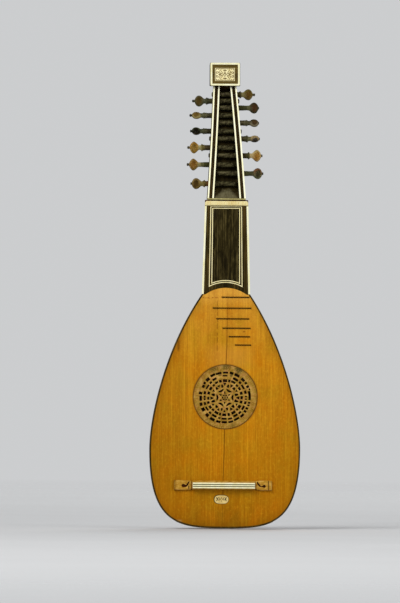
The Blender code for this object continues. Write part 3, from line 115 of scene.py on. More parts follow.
class Finish:
    """A material and the nodes that paint it. Coordinates are the piece's own, in metres."""

    def __init__(self, name, roughness=0.5, metallic=0.0, coat=0.0, coat_roughness=0.2, gloss=0.3):
        self.material = bpy.data.materials.new(name)
        self.material.use_nodes = True
        self.tree = self.material.node_tree
        self.shader = self.tree.nodes["Principled BSDF"]
        self.shader.inputs["Roughness"].default_value = roughness
        self.shader.inputs["Metallic"].default_value = metallic
        self.shader.inputs["Specular IOR Level"].default_value = gloss
        self.shader.inputs["Specular Tint"].default_value = (1.0, 0.74, 0.34, 1.0)
        self.shader.inputs["Coat Weight"].default_value = coat
        self.shader.inputs["Coat Roughness"].default_value = coat_roughness
        self.place = self.node("ShaderNodeTexCoord").outputs["Object"]

    def node(self, kind, **settings):
        made = self.tree.nodes.new(kind)
        for key, value in settings.items():
            setattr(made, key, value)
        return made

    def feed(self, socket, value):
        """Put a number, a colour or another node's output into a socket."""
        if isinstance(value, bpy.types.NodeSocket):
            self.tree.links.new(value, socket)
        else:
            socket.default_value = value

    def stretched(self, across, behind, up, offset=(0.0, 0.0, 0.0)):
        """The piece's coordinates, scaled on each axis."""
        mapping = self.node("ShaderNodeMapping")
        self.feed(mapping.inputs["Vector"], self.place)
        mapping.inputs["Scale"].default_value = (across, behind, up)
        mapping.inputs["Location"].default_value = offset
        return mapping.outputs["Vector"]

    def noise(self, vector, scale=1.0, detail=3.0, rough=0.55, distortion=0.0):
        made = self.node("ShaderNodeTexNoise")
        self.feed(made.inputs["Vector"], vector)
        made.inputs["Scale"].default_value = scale
        made.inputs["Detail"].default_value = detail
        made.inputs["Roughness"].default_value = rough
        made.inputs["Distortion"].default_value = distortion
        return made.outputs["Fac"]

    def bands(self, vector, scale, distortion, detail, detail_scale):
        made = self.node("ShaderNodeTexWave", wave_type="BANDS", bands_direction="X")
        self.feed(made.inputs["Vector"], vector)
        made.inputs["Scale"].default_value = scale
        made.inputs["Distortion"].default_value = distortion
        made.inputs["Detail"].default_value = detail
        made.inputs["Detail Scale"].default_value = detail_scale
        return made.outputs["Fac"]

    def cells(self, vector, scale, feature="F1"):
        made = self.node("ShaderNodeTexVoronoi", feature=feature)
        self.feed(made.inputs["Vector"], vector)
        made.inputs["Scale"].default_value = scale
        return made.outputs["Distance"]

    def attribute(self, name):
        return self.node("ShaderNodeAttribute", attribute_name=name).outputs["Fac"]

    def axis(self, name):
        """One of the piece's own coordinates, X, Y or Z."""
        split = self.node("ShaderNodeSeparateXYZ")
        self.feed(split.inputs["Vector"], self.place)
        return split.outputs[name]

    def math(self, operation, first, second=0.0):
        made = self.node("ShaderNodeMath", operation=operation)
        self.feed(made.inputs[0], first)
        self.feed(made.inputs[1], second)
        return made.outputs[0]

    def fade(self, value, start, end, low=0.0, high=1.0):
        """A value's way from start to end, drawn out from low to high and held there."""
        made = self.node("ShaderNodeMapRange")
        self.feed(made.inputs["Value"], value)
        for key, number in (("From Min", start), ("From Max", end), ("To Min", low), ("To Max", high)):
            made.inputs[key].default_value = number
        return made.outputs["Result"]

    def ramp(self, value, *stops):
        made = self.node("ShaderNodeValToRGB")
        self.feed(made.inputs["Fac"], value)
        elements = made.color_ramp.elements
        while len(elements) < len(stops):
            elements.new(0.5)
        for element, (position, colour) in zip(elements, stops):
            element.position = position
            element.color = colour
        return made.outputs["Color"]

    def mix(self, share, first, second, blend="MIX"):
        made = self.node("ShaderNodeMix", data_type="RGBA", blend_type=blend)
        self.feed(made.inputs["Factor"], share)
        self.feed(made.inputs["A"], first)
        self.feed(made.inputs["B"], second)
        return made.outputs["Result"]

    def line(self, value, middle, half_width, soft):
        """1 within a narrow band about a value, and 0 away from it."""
        away = self.math("ABSOLUTE", self.math("SUBTRACT", value, middle))
        return self.fade(away, half_width, half_width + soft, 1.0, 0.0)

    def finish(self, colour, roughness=None, height=None, bump=0.3, depth=0.0002):
        self.feed(self.shader.inputs["Base Color"], colour)
        if roughness is not None:
            self.feed(self.shader.inputs["Roughness"], roughness)
        if height is not None:
            made = self.node("ShaderNodeBump")
            made.inputs["Strength"].default_value = bump
            made.inputs["Distance"].default_value = depth
            self.feed(made.inputs["Height"], height)
            self.feed(self.shader.inputs["Normal"], made.outputs["Normal"])
        return self.material


def hard_wood(name, dark, middle, light, along="Z", fineness=1.0, roughness=(0.35, 0.55), coat=0.08):
    """Close-grained dark wood: long fibres and slow colour bands."""
    finish = Finish(name, coat=coat, coat_roughness=0.3, gloss=0.12)
    fine, coarse = 900.0 * fineness, 28.0 * fineness
    fibre_scale = [fine, fine, fine]
    band_scale = [110.0 * fineness] * 3
    index = "XYZ".index(along)
    fibre_scale[index] = coarse
    band_scale[index] = 7.0 * fineness
    fibres = finish.noise(finish.stretched(*fibre_scale), 1.0, 4.0, 0.6)
    slow = finish.noise(finish.stretched(*band_scale), 1.0, 3.0, 0.5, 0.6)
    blend = finish.math("ADD", finish.math("MULTIPLY", fibres, 0.45), finish.math("MULTIPLY", slow, 0.6))
    colour = finish.ramp(blend, (0.34, dark), (0.52, middle), (0.74, light))
    shine = finish.fade(fibres, 0.3, 0.7, *roughness)
    return finish.finish(colour, shine, fibres, 0.25, 0.00012)


def ivory_finish(name, pale, warm, grime, wear=0.35, scale=1.0):
    """Old ivory or bone: fine parallel lines, warm clouds and brown grime in specks."""
    finish = Finish(name, roughness=0.38, coat=0.15, coat_roughness=0.3)
    clouds = finish.noise(finish.stretched(160.0 * scale, 160.0 * scale, 60.0 * scale), 1.0, 4.0, 0.6)
    lines = finish.noise(finish.stretched(1500.0, 1500.0, 60.0), 1.0, 2.0, 0.5)
    specks = finish.noise(finish.stretched(700.0, 700.0, 420.0), 1.0, 4.0, 0.7)
    colour = finish.ramp(clouds, (0.32, warm), (0.62, pale))
    colour = finish.mix(finish.fade(lines, 0.45, 0.75, 0.0, 0.25), colour, warm)
    colour = finish.mix(finish.fade(specks, 0.6, 0.8, 0.0, wear), colour, grime)
    shine = finish.fade(specks, 0.35, 0.7, 0.28, 0.5)
    return finish.finish(colour, shine, lines, 0.12, 0.00008)


JOINT_DEPTHS = ((0.0, 0.25), (0.18, 0.5), (0.28, 0.9), (0.42, 0.8), (0.66, 0.85), (0.8, 0.6), (0.93, 0.35), (1.0, 0.1))


def soundboard_finish():
    """Golden varnished spruce: upright grain, a joint, cracks, and grime along the edges."""
    finish = Finish("golden_spruce_finish", coat=0.03, coat_roughness=0.3, gloss=0.06)
    across = finish.axis("X")
    up = finish.math("SUBTRACT", finish.axis("Z"), TAIL)
    rings = finish.bands(finish.stretched(1.0, 0.0, 0.03), 150.0, 3.2, 4.0, 9.0)
    fibres = finish.noise(finish.stretched(900.0, 0.0, 34.0), 1.0, 4.0, 0.65)
    streaks = finish.noise(finish.stretched(330.0, 0.0, 5.0), 1.0, 4.0, 0.65)
    broad = finish.noise(finish.stretched(60.0, 0.0, 5.0, (2.0, 0.0, 0.0)), 1.0, 3.0, 0.55)
    clouds = finish.noise(finish.stretched(38.0, 0.0, 24.0), 1.0, 5.0, 0.62)
    flecks = finish.noise(finish.stretched(420.0, 0.0, 260.0), 1.0, 3.0, 0.7)
    # painted light: the base tone darkens towards the tail and pales towards the top, for the light falling from above
    base = finish.ramp(
        finish.fade(up, 0.0, 0.278),
        (0.0, paint(152, 98, 2)),
        (0.12, paint(172, 114, 4)),
        (0.3, paint(188, 123, 7)),
        (0.7, paint(202, 135, 20)),
        (0.92, paint(214, 150, 42)),
        (1.0, paint(248, 187, 80)),
    )
    tints = finish.noise(finish.stretched(46.0, 0.0, 34.0, (7.0, 0.0, 3.0)), 1.0, 4.0, 0.6)
    base = finish.mix(finish.fade(tints, 0.5, 0.66, 0.0, 0.45), base, paint(206, 118, 2))
    base = finish.mix(finish.fade(tints, 0.34, 0.48, 0.45, 0.0), base, paint(172, 130, 16))
    dark = finish.mix(0.5, base, paint(118, 62, 2))
    light = finish.mix(0.5, base, paint(232, 178, 40))
    sides = finish.fade(finish.math("ABSOLUTE", across), 0.018, 0.05, 0.45, 1.0)
    colour = finish.mix(finish.math("MULTIPLY", finish.fade(rings, 0.0, 0.55, 0.62, 0.0), sides), base, dark)
    colour = finish.mix(finish.fade(streaks, 0.36, 0.62, 0.75, 0.0), colour, dark)
    colour = finish.mix(finish.fade(streaks, 0.5, 0.72, 0.0, 0.4), colour, light)
    colour = finish.mix(finish.fade(broad, 0.35, 0.6, 0.5, 0.0), colour, dark)
    colour = finish.mix(finish.fade(fibres, 0.45, 0.75, 0.0, 0.45), colour, light)
    colour = finish.mix(finish.fade(clouds, 0.3, 0.6, 0.5, 0.0), colour, dark)
    colour = finish.mix(finish.fade(flecks, 0.52, 0.74, 0.0, 0.5), colour, light)
    colour = finish.mix(finish.fade(flecks, 0.26, 0.44, 0.5, 0.0), colour, dark)
    # a paler, rubbed patch above the rose
    patch = finish.math("MULTIPLY", finish.line(up, 0.197, 0.006, 0.012), finish.line(across, 0.005, 0.012, 0.02))
    colour = finish.mix(finish.math("MULTIPLY", patch, 0.26), colour, paint(200, 144, 60))
    # the joint of the two halves, which leans a little, open above the rose and faint below it
    lean = finish.fade(up, 0.0, 0.27, -0.0026, 0.0023)
    wander = finish.noise(finish.stretched(0.0, 0.0, 30.0), 1.0, 2.0, 0.5)
    wander = finish.math("MULTIPLY", finish.math("SUBTRACT", wander, 0.5), 0.0014)
    from_joint = finish.math("SUBTRACT", finish.math("SUBTRACT", across, lean), wander)
    joint = finish.line(from_joint, 0.0, 0.0002, 0.0005)
    strength = finish.ramp(
        finish.fade(up, 0.0, 0.28),
        *((place, (depth, depth, depth, 1.0)) for place, depth in JOINT_DEPTHS),
    )
    joint = finish.math("MULTIPLY", joint, strength)
    colour = finish.mix(joint, colour, paint(78, 36, 2))
    # a second crack through the upper frets, in short stretches
    from_crack = finish.math("SUBTRACT", finish.math("ADD", across, 0.0098), wander)
    stretches = finish.noise(finish.stretched(0.0, 0.0, 190.0), 1.0, 1.0, 0.5)
    crack = finish.math("MULTIPLY", finish.line(from_crack, 0.0, 0.0002, 0.0005), finish.line(up, 0.233, 0.026, 0.008))
    crack = finish.math("MULTIPLY", crack, finish.fade(stretches, 0.44, 0.52, 0.0, 0.55))
    colour = finish.mix(crack, colour, paint(88, 42, 4))
    # where the missing stretch of the highest fret was glued
    trace = finish.math("MULTIPLY", finish.line(up, 0.2656, 0.0004, 0.0006), finish.line(across, -0.017, 0.009, 0.002))
    broken = finish.noise(finish.stretched(420.0, 0.0, 420.0), 1.0, 2.0, 0.6)
    trace = finish.math("MULTIPLY", trace, finish.fade(broken, 0.46, 0.58, 0.0, 0.7))
    colour = finish.mix(trace, colour, paint(126, 52, 8))
    # a dark knock near the bass edge
    knock = finish.math("MULTIPLY", finish.line(up, 0.2105, 0.004, 0.004), finish.line(across, -0.0545, 0.0006, 0.0016))
    colour = finish.mix(finish.math("MULTIPLY", knock, 0.6), colour, paint(100, 52, 4))
    speck = finish.math("MULTIPLY", finish.line(up, 0.2266, 0.0003, 0.0008), finish.line(across, 0.0212, 0.0007, 0.0012))
    colour = finish.mix(finish.math("MULTIPLY", speck, 0.6), colour, paint(104, 44, 6))
    chips = finish.math("MULTIPLY", finish.line(across, -0.053, 0.002, 0.003), finish.line(up, 0.0072, 0.001, 0.002))
    colour = finish.mix(finish.math("MULTIPLY", chips, 0.7), colour, paint(206, 166, 96))
    ragged = finish.math("MULTIPLY", finish.math("SUBTRACT", clouds, 0.5), 0.5)
    corner = finish.math("MULTIPLY", finish.fade(finish.math("ABSOLUTE", across), 0.03, 0.06), finish.fade(up, 0.03, 0.07, 0.2, 0.0))
    colour = finish.mix(corner, colour, paint(208, 116, 4))
    # painted shade: the bass side, the lower treble side and the middle just above the tail are darkened a little
    for share in (
        finish.fade(across, -0.02, -0.062, 0.0, 1.0),
        finish.math("MULTIPLY", finish.fade(across, 0.045, 0.078), finish.fade(up, 0.06, 0.14, 1.0, 0.0)),
        finish.math("MULTIPLY", finish.line(across, -0.006, 0.022, 0.016), finish.fade(up, 0.012, 0.027, 0.95, 0.0)),
    ):
        colour = finish.mix(share, colour, (0.86, 0.87, 0.84, 1.0), "MULTIPLY")
    edge = finish.math("ADD", finish.attribute("edge"), ragged)
    grime = finish.math("MULTIPLY", finish.fade(edge, 0.4, 1.15, 0.0, 0.46), finish.fade(up, 0.25, 0.264, 1.0, 0.3))
    colour = finish.mix(grime, colour, paint(112, 66, 2))
    hole = finish.math("ADD", finish.attribute("hole"), ragged)
    colour = finish.mix(finish.fade(hole, 0.75, 1.05, 0.0, 0.55), colour, paint(122, 72, 12))
    relief = finish.math("ADD", finish.math("MULTIPLY", fibres, 0.5), finish.math("MULTIPLY", streaks, 0.4))
    relief = finish.math("SUBTRACT", relief, finish.math("MULTIPLY", joint, 0.8))
    shine = finish.fade(clouds, 0.3, 0.7, 0.36, 0.5)
    return finish.finish(colour, shine, relief, 0.2, 0.00012)


def rose_finish():
    """The thin carved disc: olive and rosy by turns, with soot above, darker blotches near its rim, and a dark line of
    painted shade round its edge.
    """
    finish = Finish("rose_finish", roughness=0.6, gloss=0.2)
    across = finish.axis("X")
    up = finish.math("SUBTRACT", finish.axis("Z"), TAIL + ROSE_UP * MM)
    radius = finish.math("SQRT", finish.math("ADD", finish.math("MULTIPLY", across, across), finish.math("MULTIPLY", up, up)))
    clouds = finish.noise(finish.stretched(150.0, 0.0, 150.0), 1.0, 4.0, 0.6)
    tints = finish.noise(finish.stretched(210.0, 0.0, 210.0, (3.0, 0.0, 5.0)), 1.0, 3.0, 0.6)
    fibres = finish.noise(finish.stretched(1100.0, 0.0, 90.0), 1.0, 3.0, 0.6)
    colour = finish.ramp(
        clouds,
        (0.34, paint(132, 96, 26)),
        (0.5, paint(164, 124, 48)),
        (0.66, paint(192, 154, 80)),
    )
    colour = finish.mix(finish.fade(tints, 0.52, 0.66, 0.0, 0.5), colour, paint(196, 138, 86))
    colour = finish.mix(finish.fade(tints, 0.34, 0.48, 0.45, 0.0), colour, paint(130, 116, 16))
    colour = finish.mix(finish.fade(fibres, 0.4, 0.8, 0.0, 0.35), colour, paint(116, 78, 18))
    # painted shade: a dark line round the disc's edge, in the crease where it sits below the board, broken in places
    rim = finish.line(radius, 0.0371, 0.0005, 0.0007)
    broken = finish.fade(clouds, 0.3, 0.6, 1.0, 0.7)
    colour = finish.mix(finish.math("MULTIPLY", rim, broken), colour, paint(62, 20, 4))
    low_rim = finish.math("MULTIPLY", finish.fade(radius, 0.0305, 0.032), finish.fade(clouds, 0.35, 0.6, 0.5, 0.15))
    colour = finish.mix(low_rim, colour, paint(128, 90, 18))
    for place_across, place_up, size, strength in (
        (-0.0135, 0.0325, 0.0075, 0.5),
        (0.0005, 0.0355, 0.0085, 0.65),
        (0.0155, 0.031, 0.0075, 0.85),
        (-0.006, 0.0255, 0.0035, 0.6),
        (0.0067, 0.0247, 0.003, 0.8),
        (0.009, -0.033, 0.006, 0.35),
        (-0.0195, -0.0265, 0.005, 0.3),
    ):
        from_x = finish.math("SUBTRACT", across, place_across)
        from_z = finish.math("SUBTRACT", up, place_up)
        away = finish.math("SQRT", finish.math("ADD", finish.math("MULTIPLY", from_x, from_x), finish.math("MULTIPLY", from_z, from_z)))
        soot = finish.fade(finish.math("ADD", away, finish.math("MULTIPLY", tints, 0.4 * size)), 0.5 * size, size, strength, 0.0)
        colour = finish.mix(soot, colour, paint(66, 56, 20))
    return finish.finish(colour, None, fibres, 0.3, 0.00012)


def panel_finish():
    """The fingerboard's middle panel: dark wood with a broken, mottled figure."""
    finish = Finish("panel_finish", coat=0.05, coat_roughness=0.3, gloss=0.1)
    mottle = finish.noise(finish.stretched(260.0, 0.0, 70.0), 1.0, 3.0, 0.6, 0.5)
    streaks = finish.noise(finish.stretched(520.0, 0.0, 12.0), 1.0, 4.0, 0.65)
    blend = finish.math("ADD", finish.math("MULTIPLY", mottle, 0.45), finish.math("MULTIPLY", streaks, 0.57))
    colour = finish.ramp(
        blend,
        (0.42, paint(16, 12, 2)),
        (0.52, paint(40, 33, 11)),
        (0.64, paint(78, 68, 36)),
    )
    return finish.finish(colour, finish.fade(streaks, 0.3, 0.7, 0.35, 0.5), streaks, 0.2, 0.0001)


def board_finish():
    """The fingerboard's margin: brown-black, turning red along the treble side."""
    finish = Finish("board_finish", coat=0.05, coat_roughness=0.3, gloss=0.1)
    streaks = finish.noise(finish.stretched(800.0, 800.0, 24.0), 1.0, 4.0, 0.6)
    slow = finish.noise(finish.stretched(120.0, 120.0, 20.0), 1.0, 3.0, 0.6)
    blend = finish.math("ADD", finish.math("MULTIPLY", slow, 0.5), finish.math("MULTIPLY", streaks, 0.52))
    colour = finish.ramp(blend, (0.42, paint(20, 15, 2)), (0.52, paint(46, 37, 12)), (0.64, paint(84, 66, 28)))
    red = finish.math("MULTIPLY", finish.fade(finish.axis("X"), 0.016, 0.02), finish.fade(slow, 0.4, 0.55, 0.1, 0.5))
    red = finish.math("MULTIPLY", red, finish.fade(finish.axis("Z"), TAIL + 0.318, TAIL + 0.352, 0.1, 1.0))
    colour = finish.mix(red, colour, paint(72, 50, 20))
    low = finish.fade(finish.axis("Z"), TAIL + 0.352, TAIL + 0.338, 0.0, 0.4)
    low = finish.math("MULTIPLY", low, finish.fade(finish.axis("X"), 0.014, 0.018))
    colour = finish.mix(low, colour, paint(24, 18, 3))
    return finish.finish(colour, finish.fade(streaks, 0.3, 0.7, 0.35, 0.5), streaks, 0.2, 0.0001)


def bridge_finish():
    """Light pearwood, browner along the grain and at the bass end, with painted shade along its lower edge."""
    finish = Finish("bridge_finish", roughness=0.5, coat=0.08, coat_roughness=0.3, gloss=0.2)
    fibres = finish.noise(finish.stretched(45.0, 700.0, 700.0), 1.0, 4.0, 0.6)
    clouds = finish.noise(finish.stretched(190.0, 190.0, 260.0), 1.0, 3.0, 0.6)
    colour = finish.ramp(clouds, (0.34, paint(154, 109, 24)), (0.5, paint(183, 137, 46)), (0.66, paint(204, 162, 78)))
    colour = finish.mix(finish.fade(fibres, 0.42, 0.75, 0.0, 0.45), colour, paint(146, 96, 16))
    end = finish.fade(finish.axis("X"), -0.0574, -0.0566, 0.5, 0.0)
    colour = finish.mix(end, colour, paint(96, 60, 6))
    # painted shade: a red-brown band along the lower edge, for the shade under the bridge
    low = finish.fade(finish.axis("Z"), TAIL + 0.0442, TAIL + 0.0452, 0.5, 0.0)
    colour = finish.mix(low, colour, paint(120, 66, 22))
    return finish.finish(colour, None, fibres, 0.25, 0.00012)


def peg_finish(name, hand, stem, ring, collar, top, bottom, middle, tip, lines, flecks):
    """Turned peg wood, its parts worn to different tones, with painted highlight and shade on the head's upper and
    lower edges and round its outline, and the head's face in a tone of its own.

    A peg's own Z runs outwards, with its head always at the same place, and its X over the head.
    """
    finish = Finish(name, coat=0.06, coat_roughness=0.3, gloss=0.2)
    out = finish.axis("Z")
    over = finish.math("MULTIPLY", finish.axis("X"), hand)
    fibres = finish.noise(finish.stretched(900.0, 900.0, 80.0), 1.0, 4.0, 0.6)
    clouds = finish.noise(finish.stretched(330.0, 330.0, 300.0), 1.0, 3.0, 0.6)
    colour = finish.mix(finish.fade(out, 0.0026, 0.0034), paint(*stem), paint(*ring))
    stripes = finish.math("SINE", finish.math("MULTIPLY", out, 4200.0))
    striped = finish.math("MULTIPLY", finish.fade(stripes, 0.0, 0.8, 0.0, lines), finish.fade(out, 0.0066, 0.0072, 1.0, 0.0))
    colour = finish.mix(striped, colour, paint(150, 140, 104))
    shaft = finish.fade(out, -0.005, -0.0035, 1.0, 0.0)
    colour = finish.mix(shaft, colour, finish.ramp(clouds, (0.4, paint(24, 22, 10)), (0.64, paint(78, 74, 48))))
    colour = finish.mix(finish.fade(out, 0.0064, 0.0074), colour, paint(*collar))
    # the head's upper and lower edges: tones that hold painted highlight and shade as well as the wood's own
    edge = finish.mix(finish.fade(over, -0.0025, 0.0025), paint(*bottom), paint(*top))
    colour = finish.mix(finish.fade(out, 0.0096, 0.0112), colour, edge)
    along = finish.math("DIVIDE", finish.math("SUBTRACT", out, 0.0154), 0.0042)
    aside = finish.math("DIVIDE", over, 0.0052)
    away = finish.math("SQRT", finish.math("ADD", finish.math("MULTIPLY", along, along), finish.math("MULTIPLY", aside, aside)))
    rough = finish.math("ADD", away, finish.fade(clouds, 0.3, 0.7, -0.25, 0.25))
    colour = finish.mix(finish.fade(rough, 0.6, 1.0, 1.0, 0.0), colour, paint(*middle))
    colour = finish.mix(finish.fade(out, 0.0197, 0.0202), colour, paint(*tip))
    spots = finish.noise(finish.stretched(620.0, 620.0, 620.0), 1.0, 2.0, 0.6)
    flecked = finish.math("MULTIPLY", finish.fade(spots, 0.52, 0.66, 0.0, flecks), finish.fade(out, 0.008, 0.0095))
    colour = finish.mix(flecked, colour, paint(214, 190, 132))
    shade = finish.mix(0.7, colour, paint(12, 8, 2))
    # painted shade: a dark band round the head's outline, where its edge turns away from the light
    rim = finish.math("MULTIPLY", finish.fade(away, 1.02, 1.25), finish.fade(out, 0.0115, 0.0135))
    colour = finish.mix(finish.math("MULTIPLY", rim, 0.7), colour, shade)
    colour = finish.mix(finish.fade(clouds, 0.36, 0.54, 0.6, 0.0), colour, shade)
    colour = finish.mix(finish.fade(fibres, 0.5, 0.8, 0.0, 0.5), colour, shade)
    return finish.finish(colour, finish.fade(fibres, 0.3, 0.7, 0.35, 0.55), fibres, 0.25, 0.0001)


def back_finish():
    """The pegbox's back: nearly black, with painted light in grey on the slope at its foot."""
    finish = Finish("back_finish", coat=0.04, coat_roughness=0.3, gloss=0.12)
    across = finish.axis("X")
    up = finish.math("SUBTRACT", finish.axis("Z"), TAIL)
    fibres = finish.noise(finish.stretched(700.0, 700.0, 40.0), 1.0, 4.0, 0.6)
    clouds = finish.noise(finish.stretched(160.0, 160.0, 90.0), 1.0, 3.0, 0.6)
    grain = finish.noise(finish.stretched(170.0, 170.0, 14.0), 1.0, 4.0, 0.6)
    colour = finish.ramp(grain, (0.34, paint(18, 14, 3)), (0.52, paint(34, 27, 9)), (0.68, paint(56, 46, 20)))
    # painted light: a pale grey on the front-facing slope below an arched brow at the foot
    brow = finish.math("SUBTRACT", 0.3912, finish.math("MULTIPLY", finish.math("MULTIPLY", across, across), 60.0))
    below = finish.math("SUBTRACT", brow, up)
    painted_slope_light = finish.fade(finish.math("ADD", below, finish.fade(clouds, 0.3, 0.7, -0.002, 0.002)), -0.0015, 0.0035, 0.0, 0.85)
    facing = finish.node("ShaderNodeSeparateXYZ")
    finish.feed(facing.inputs["Vector"], finish.node("ShaderNodeNewGeometry").outputs["Normal"])
    painted_slope_light = finish.math("MULTIPLY", painted_slope_light, finish.fade(facing.outputs["Y"], -0.3, 0.0, 1.0, 0.0))
    colour = finish.mix(painted_slope_light, colour, finish.ramp(fibres, (0.3, paint(76, 70, 46)), (0.7, paint(108, 102, 76))))
    return finish.finish(colour, 0.5, fibres, 0.2, 0.0001)


SPRUCE = soundboard_finish()
ROSE = rose_finish()
PANEL = panel_finish()
BOARD = board_finish()
PEARWOOD = bridge_finish()
BACK = back_finish()
STAINED = hard_wood("stained_finish", paint(13, 9, 1), paint(36, 25, 6), paint(66, 48, 17))
EBONY = hard_wood("ebony_finish", paint(26, 17, 3), paint(52, 36, 8), paint(84, 60, 18))
EDGING = hard_wood("edging_finish", paint(30, 22, 2), paint(58, 43, 8), paint(90, 70, 22))
FRET = hard_wood("fret_finish", paint(12, 3, 1), paint(26, 8, 2), paint(46, 18, 6), along="X", coat=0.0)
FRET_OLIVE = hard_wood("fret_olive_finish", paint(14, 10, 1), paint(30, 23, 4), paint(52, 40, 12), along="X", coat=0.0)
NECK = hard_wood("neck_finish", paint(34, 16, 8), paint(66, 34, 18), paint(100, 56, 30), coat=0.3)
RIB_DARK = hard_wood("rib_dark_finish", paint(58, 26, 12), paint(104, 54, 26), paint(142, 80, 40), coat=0.35)
RIB_LIGHT = hard_wood("rib_light_finish", paint(74, 36, 16), paint(122, 66, 32), paint(160, 94, 48), coat=0.35)
IVORY = ivory_finish("ivory_finish", paint(244, 241, 207), paint(232, 225, 170), paint(162, 138, 70))
# a paler copy of the ivory for the pegbox's strips: painted light, for the light falling on the pegbox's back-leaning
# front
CHEEK_IVORY = ivory_finish("cheek_ivory_finish", paint(255, 253, 222), paint(246, 240, 192), paint(176, 150, 84), 0.3)
INLAY = ivory_finish("inlay_finish", paint(244, 233, 184), paint(229, 214, 150), paint(160, 134, 66))
OLD_IVORY = ivory_finish("old_ivory_finish", paint(240, 230, 180), paint(218, 202, 140), paint(132, 106, 48), 0.6)
FOOT_IVORY = ivory_finish("foot_ivory_finish", paint(192, 184, 128), paint(166, 152, 88), paint(100, 88, 34), 0.6)
NUT_BONE = ivory_finish("nut_finish", paint(232, 220, 166), paint(216, 194, 128), paint(184, 124, 74), 0.9)
PLATE_BONE = ivory_finish("plate_finish", paint(228, 205, 138), paint(206, 176, 104), paint(124, 94, 40), 0.5)
BARE = hard_wood("bare_spruce_finish", paint(150, 118, 76), paint(190, 160, 110), paint(214, 188, 140), coat=0.0)
LINE_WOOD = hard_wood("line_finish", paint(40, 38, 18), paint(66, 64, 34), paint(100, 98, 60), along="X")
IRON = Finish("iron_finish", metallic=1.0).finish(paint(96, 88, 82), 0.6)
INK = Finish("ink_finish", roughness=0.7, gloss=0.1).finish(paint(92, 70, 26))
DARK_INK = Finish("dark_ink_finish", roughness=0.7, gloss=0.1).finish(paint(54, 42, 14))
SHADOW_WOOD = hard_wood("shadow_finish", paint(40, 14, 2), paint(66, 26, 5), paint(98, 48, 12))
STEP_WOOD = hard_wood("step_finish", paint(96, 62, 18), paint(134, 92, 34), paint(166, 122, 54), along="X")
SLIP_WOOD = hard_wood("slip_finish", paint(46, 36, 10), paint(80, 64, 24), paint(112, 92, 42), along="X")
ROSE_DARK = hard_wood("rose_dark_finish", paint(70, 50, 10), paint(104, 76, 22), paint(132, 100, 40), along="Y")
ROSE_TICKS = hard_wood("rose_tick_finish", paint(146, 110, 24), paint(188, 153, 62), paint(218, 184, 92), along="Y")


# Mesh helpers


def new_object(name, data, material, slot, body=BODY):
    """Link a piece, give it its finish, and let it ride on a body."""
    piece = bpy.data.objects.new(name, data)
    bpy.context.scene.collection.objects.link(piece)
    data.materials.append(material)
    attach(piece, body)
    return piece


def mesh_piece(name, shell, material, slot, body=BODY, angle=35.0):
    """A piece from a bmesh, shaded smooth except over sharp edges."""
    bmesh.ops.recalc_face_normals(shell, faces=shell.faces)
    mesh = bpy.data.meshes.new(name)
    shell.to_mesh(mesh)
    shell.free()
    mesh.shade_smooth()
    mesh.set_sharp_from_angle(angle=math.radians(angle))
    return new_object(name, mesh, material, slot, body)


def bevelled(piece, width, segments=2, angle=35.0):
    """Round the sharp edges of a piece by a width in millimetres."""
    made = piece.modifiers.new("rounding", "BEVEL")
    made.width = width * MM
    made.segments = segments
    made.limit_method = "ANGLE"
    made.angle_limit = math.radians(angle)
    made.harden_normals = False
    return piece


def copied(node):
    """The mesh of a CAD node, for a piece that stands for it."""
    source = frame["nodes"][node]
    mesh = source.data.copy()
    mesh.transform(source.matrix_world)
    mesh.materials.clear()
    return mesh


def loft(shell, rings, close_start=True, close_end=True):
    """Skin closed rings of equal length in a bmesh."""
    loops = [[shell.verts.new(point) for point in ring] for ring in rings]
    count = len(loops[0])
    for lower, upper in zip(loops, loops[1:]):
        for index in range(count):
            after = (index + 1) % count
            shell.faces.new((lower[index], lower[after], upper[after], upper[index]))
    if close_start:
        shell.faces.new(loops[0])
    if close_end:
        shell.faces.new(loops[-1])
    return loops


def sheet(columns, rows, place):
    """A grid in a bmesh, moved to place(u, v)."""
    shell = bmesh.new()
    bmesh.ops.create_grid(shell, x_segments=columns, y_segments=rows, size=0.5)
    for vert in shell.verts:
        vert.co = place(vert.co.x + 0.5, vert.co.y + 0.5)
    return shell


def thicken(piece, thickness, turned=False):
    """Thicken a sheet away from the side that its faces look to, in millimetres.

    The strips of the bowl are made looking inwards, so they are turned first.
    """
    if turned:
        piece.data.flip_normals()
    made = piece.modifiers.new("thickness", "SOLIDIFY")
    made.thickness = thickness * MM
    made.use_even_offset = True
    return piece


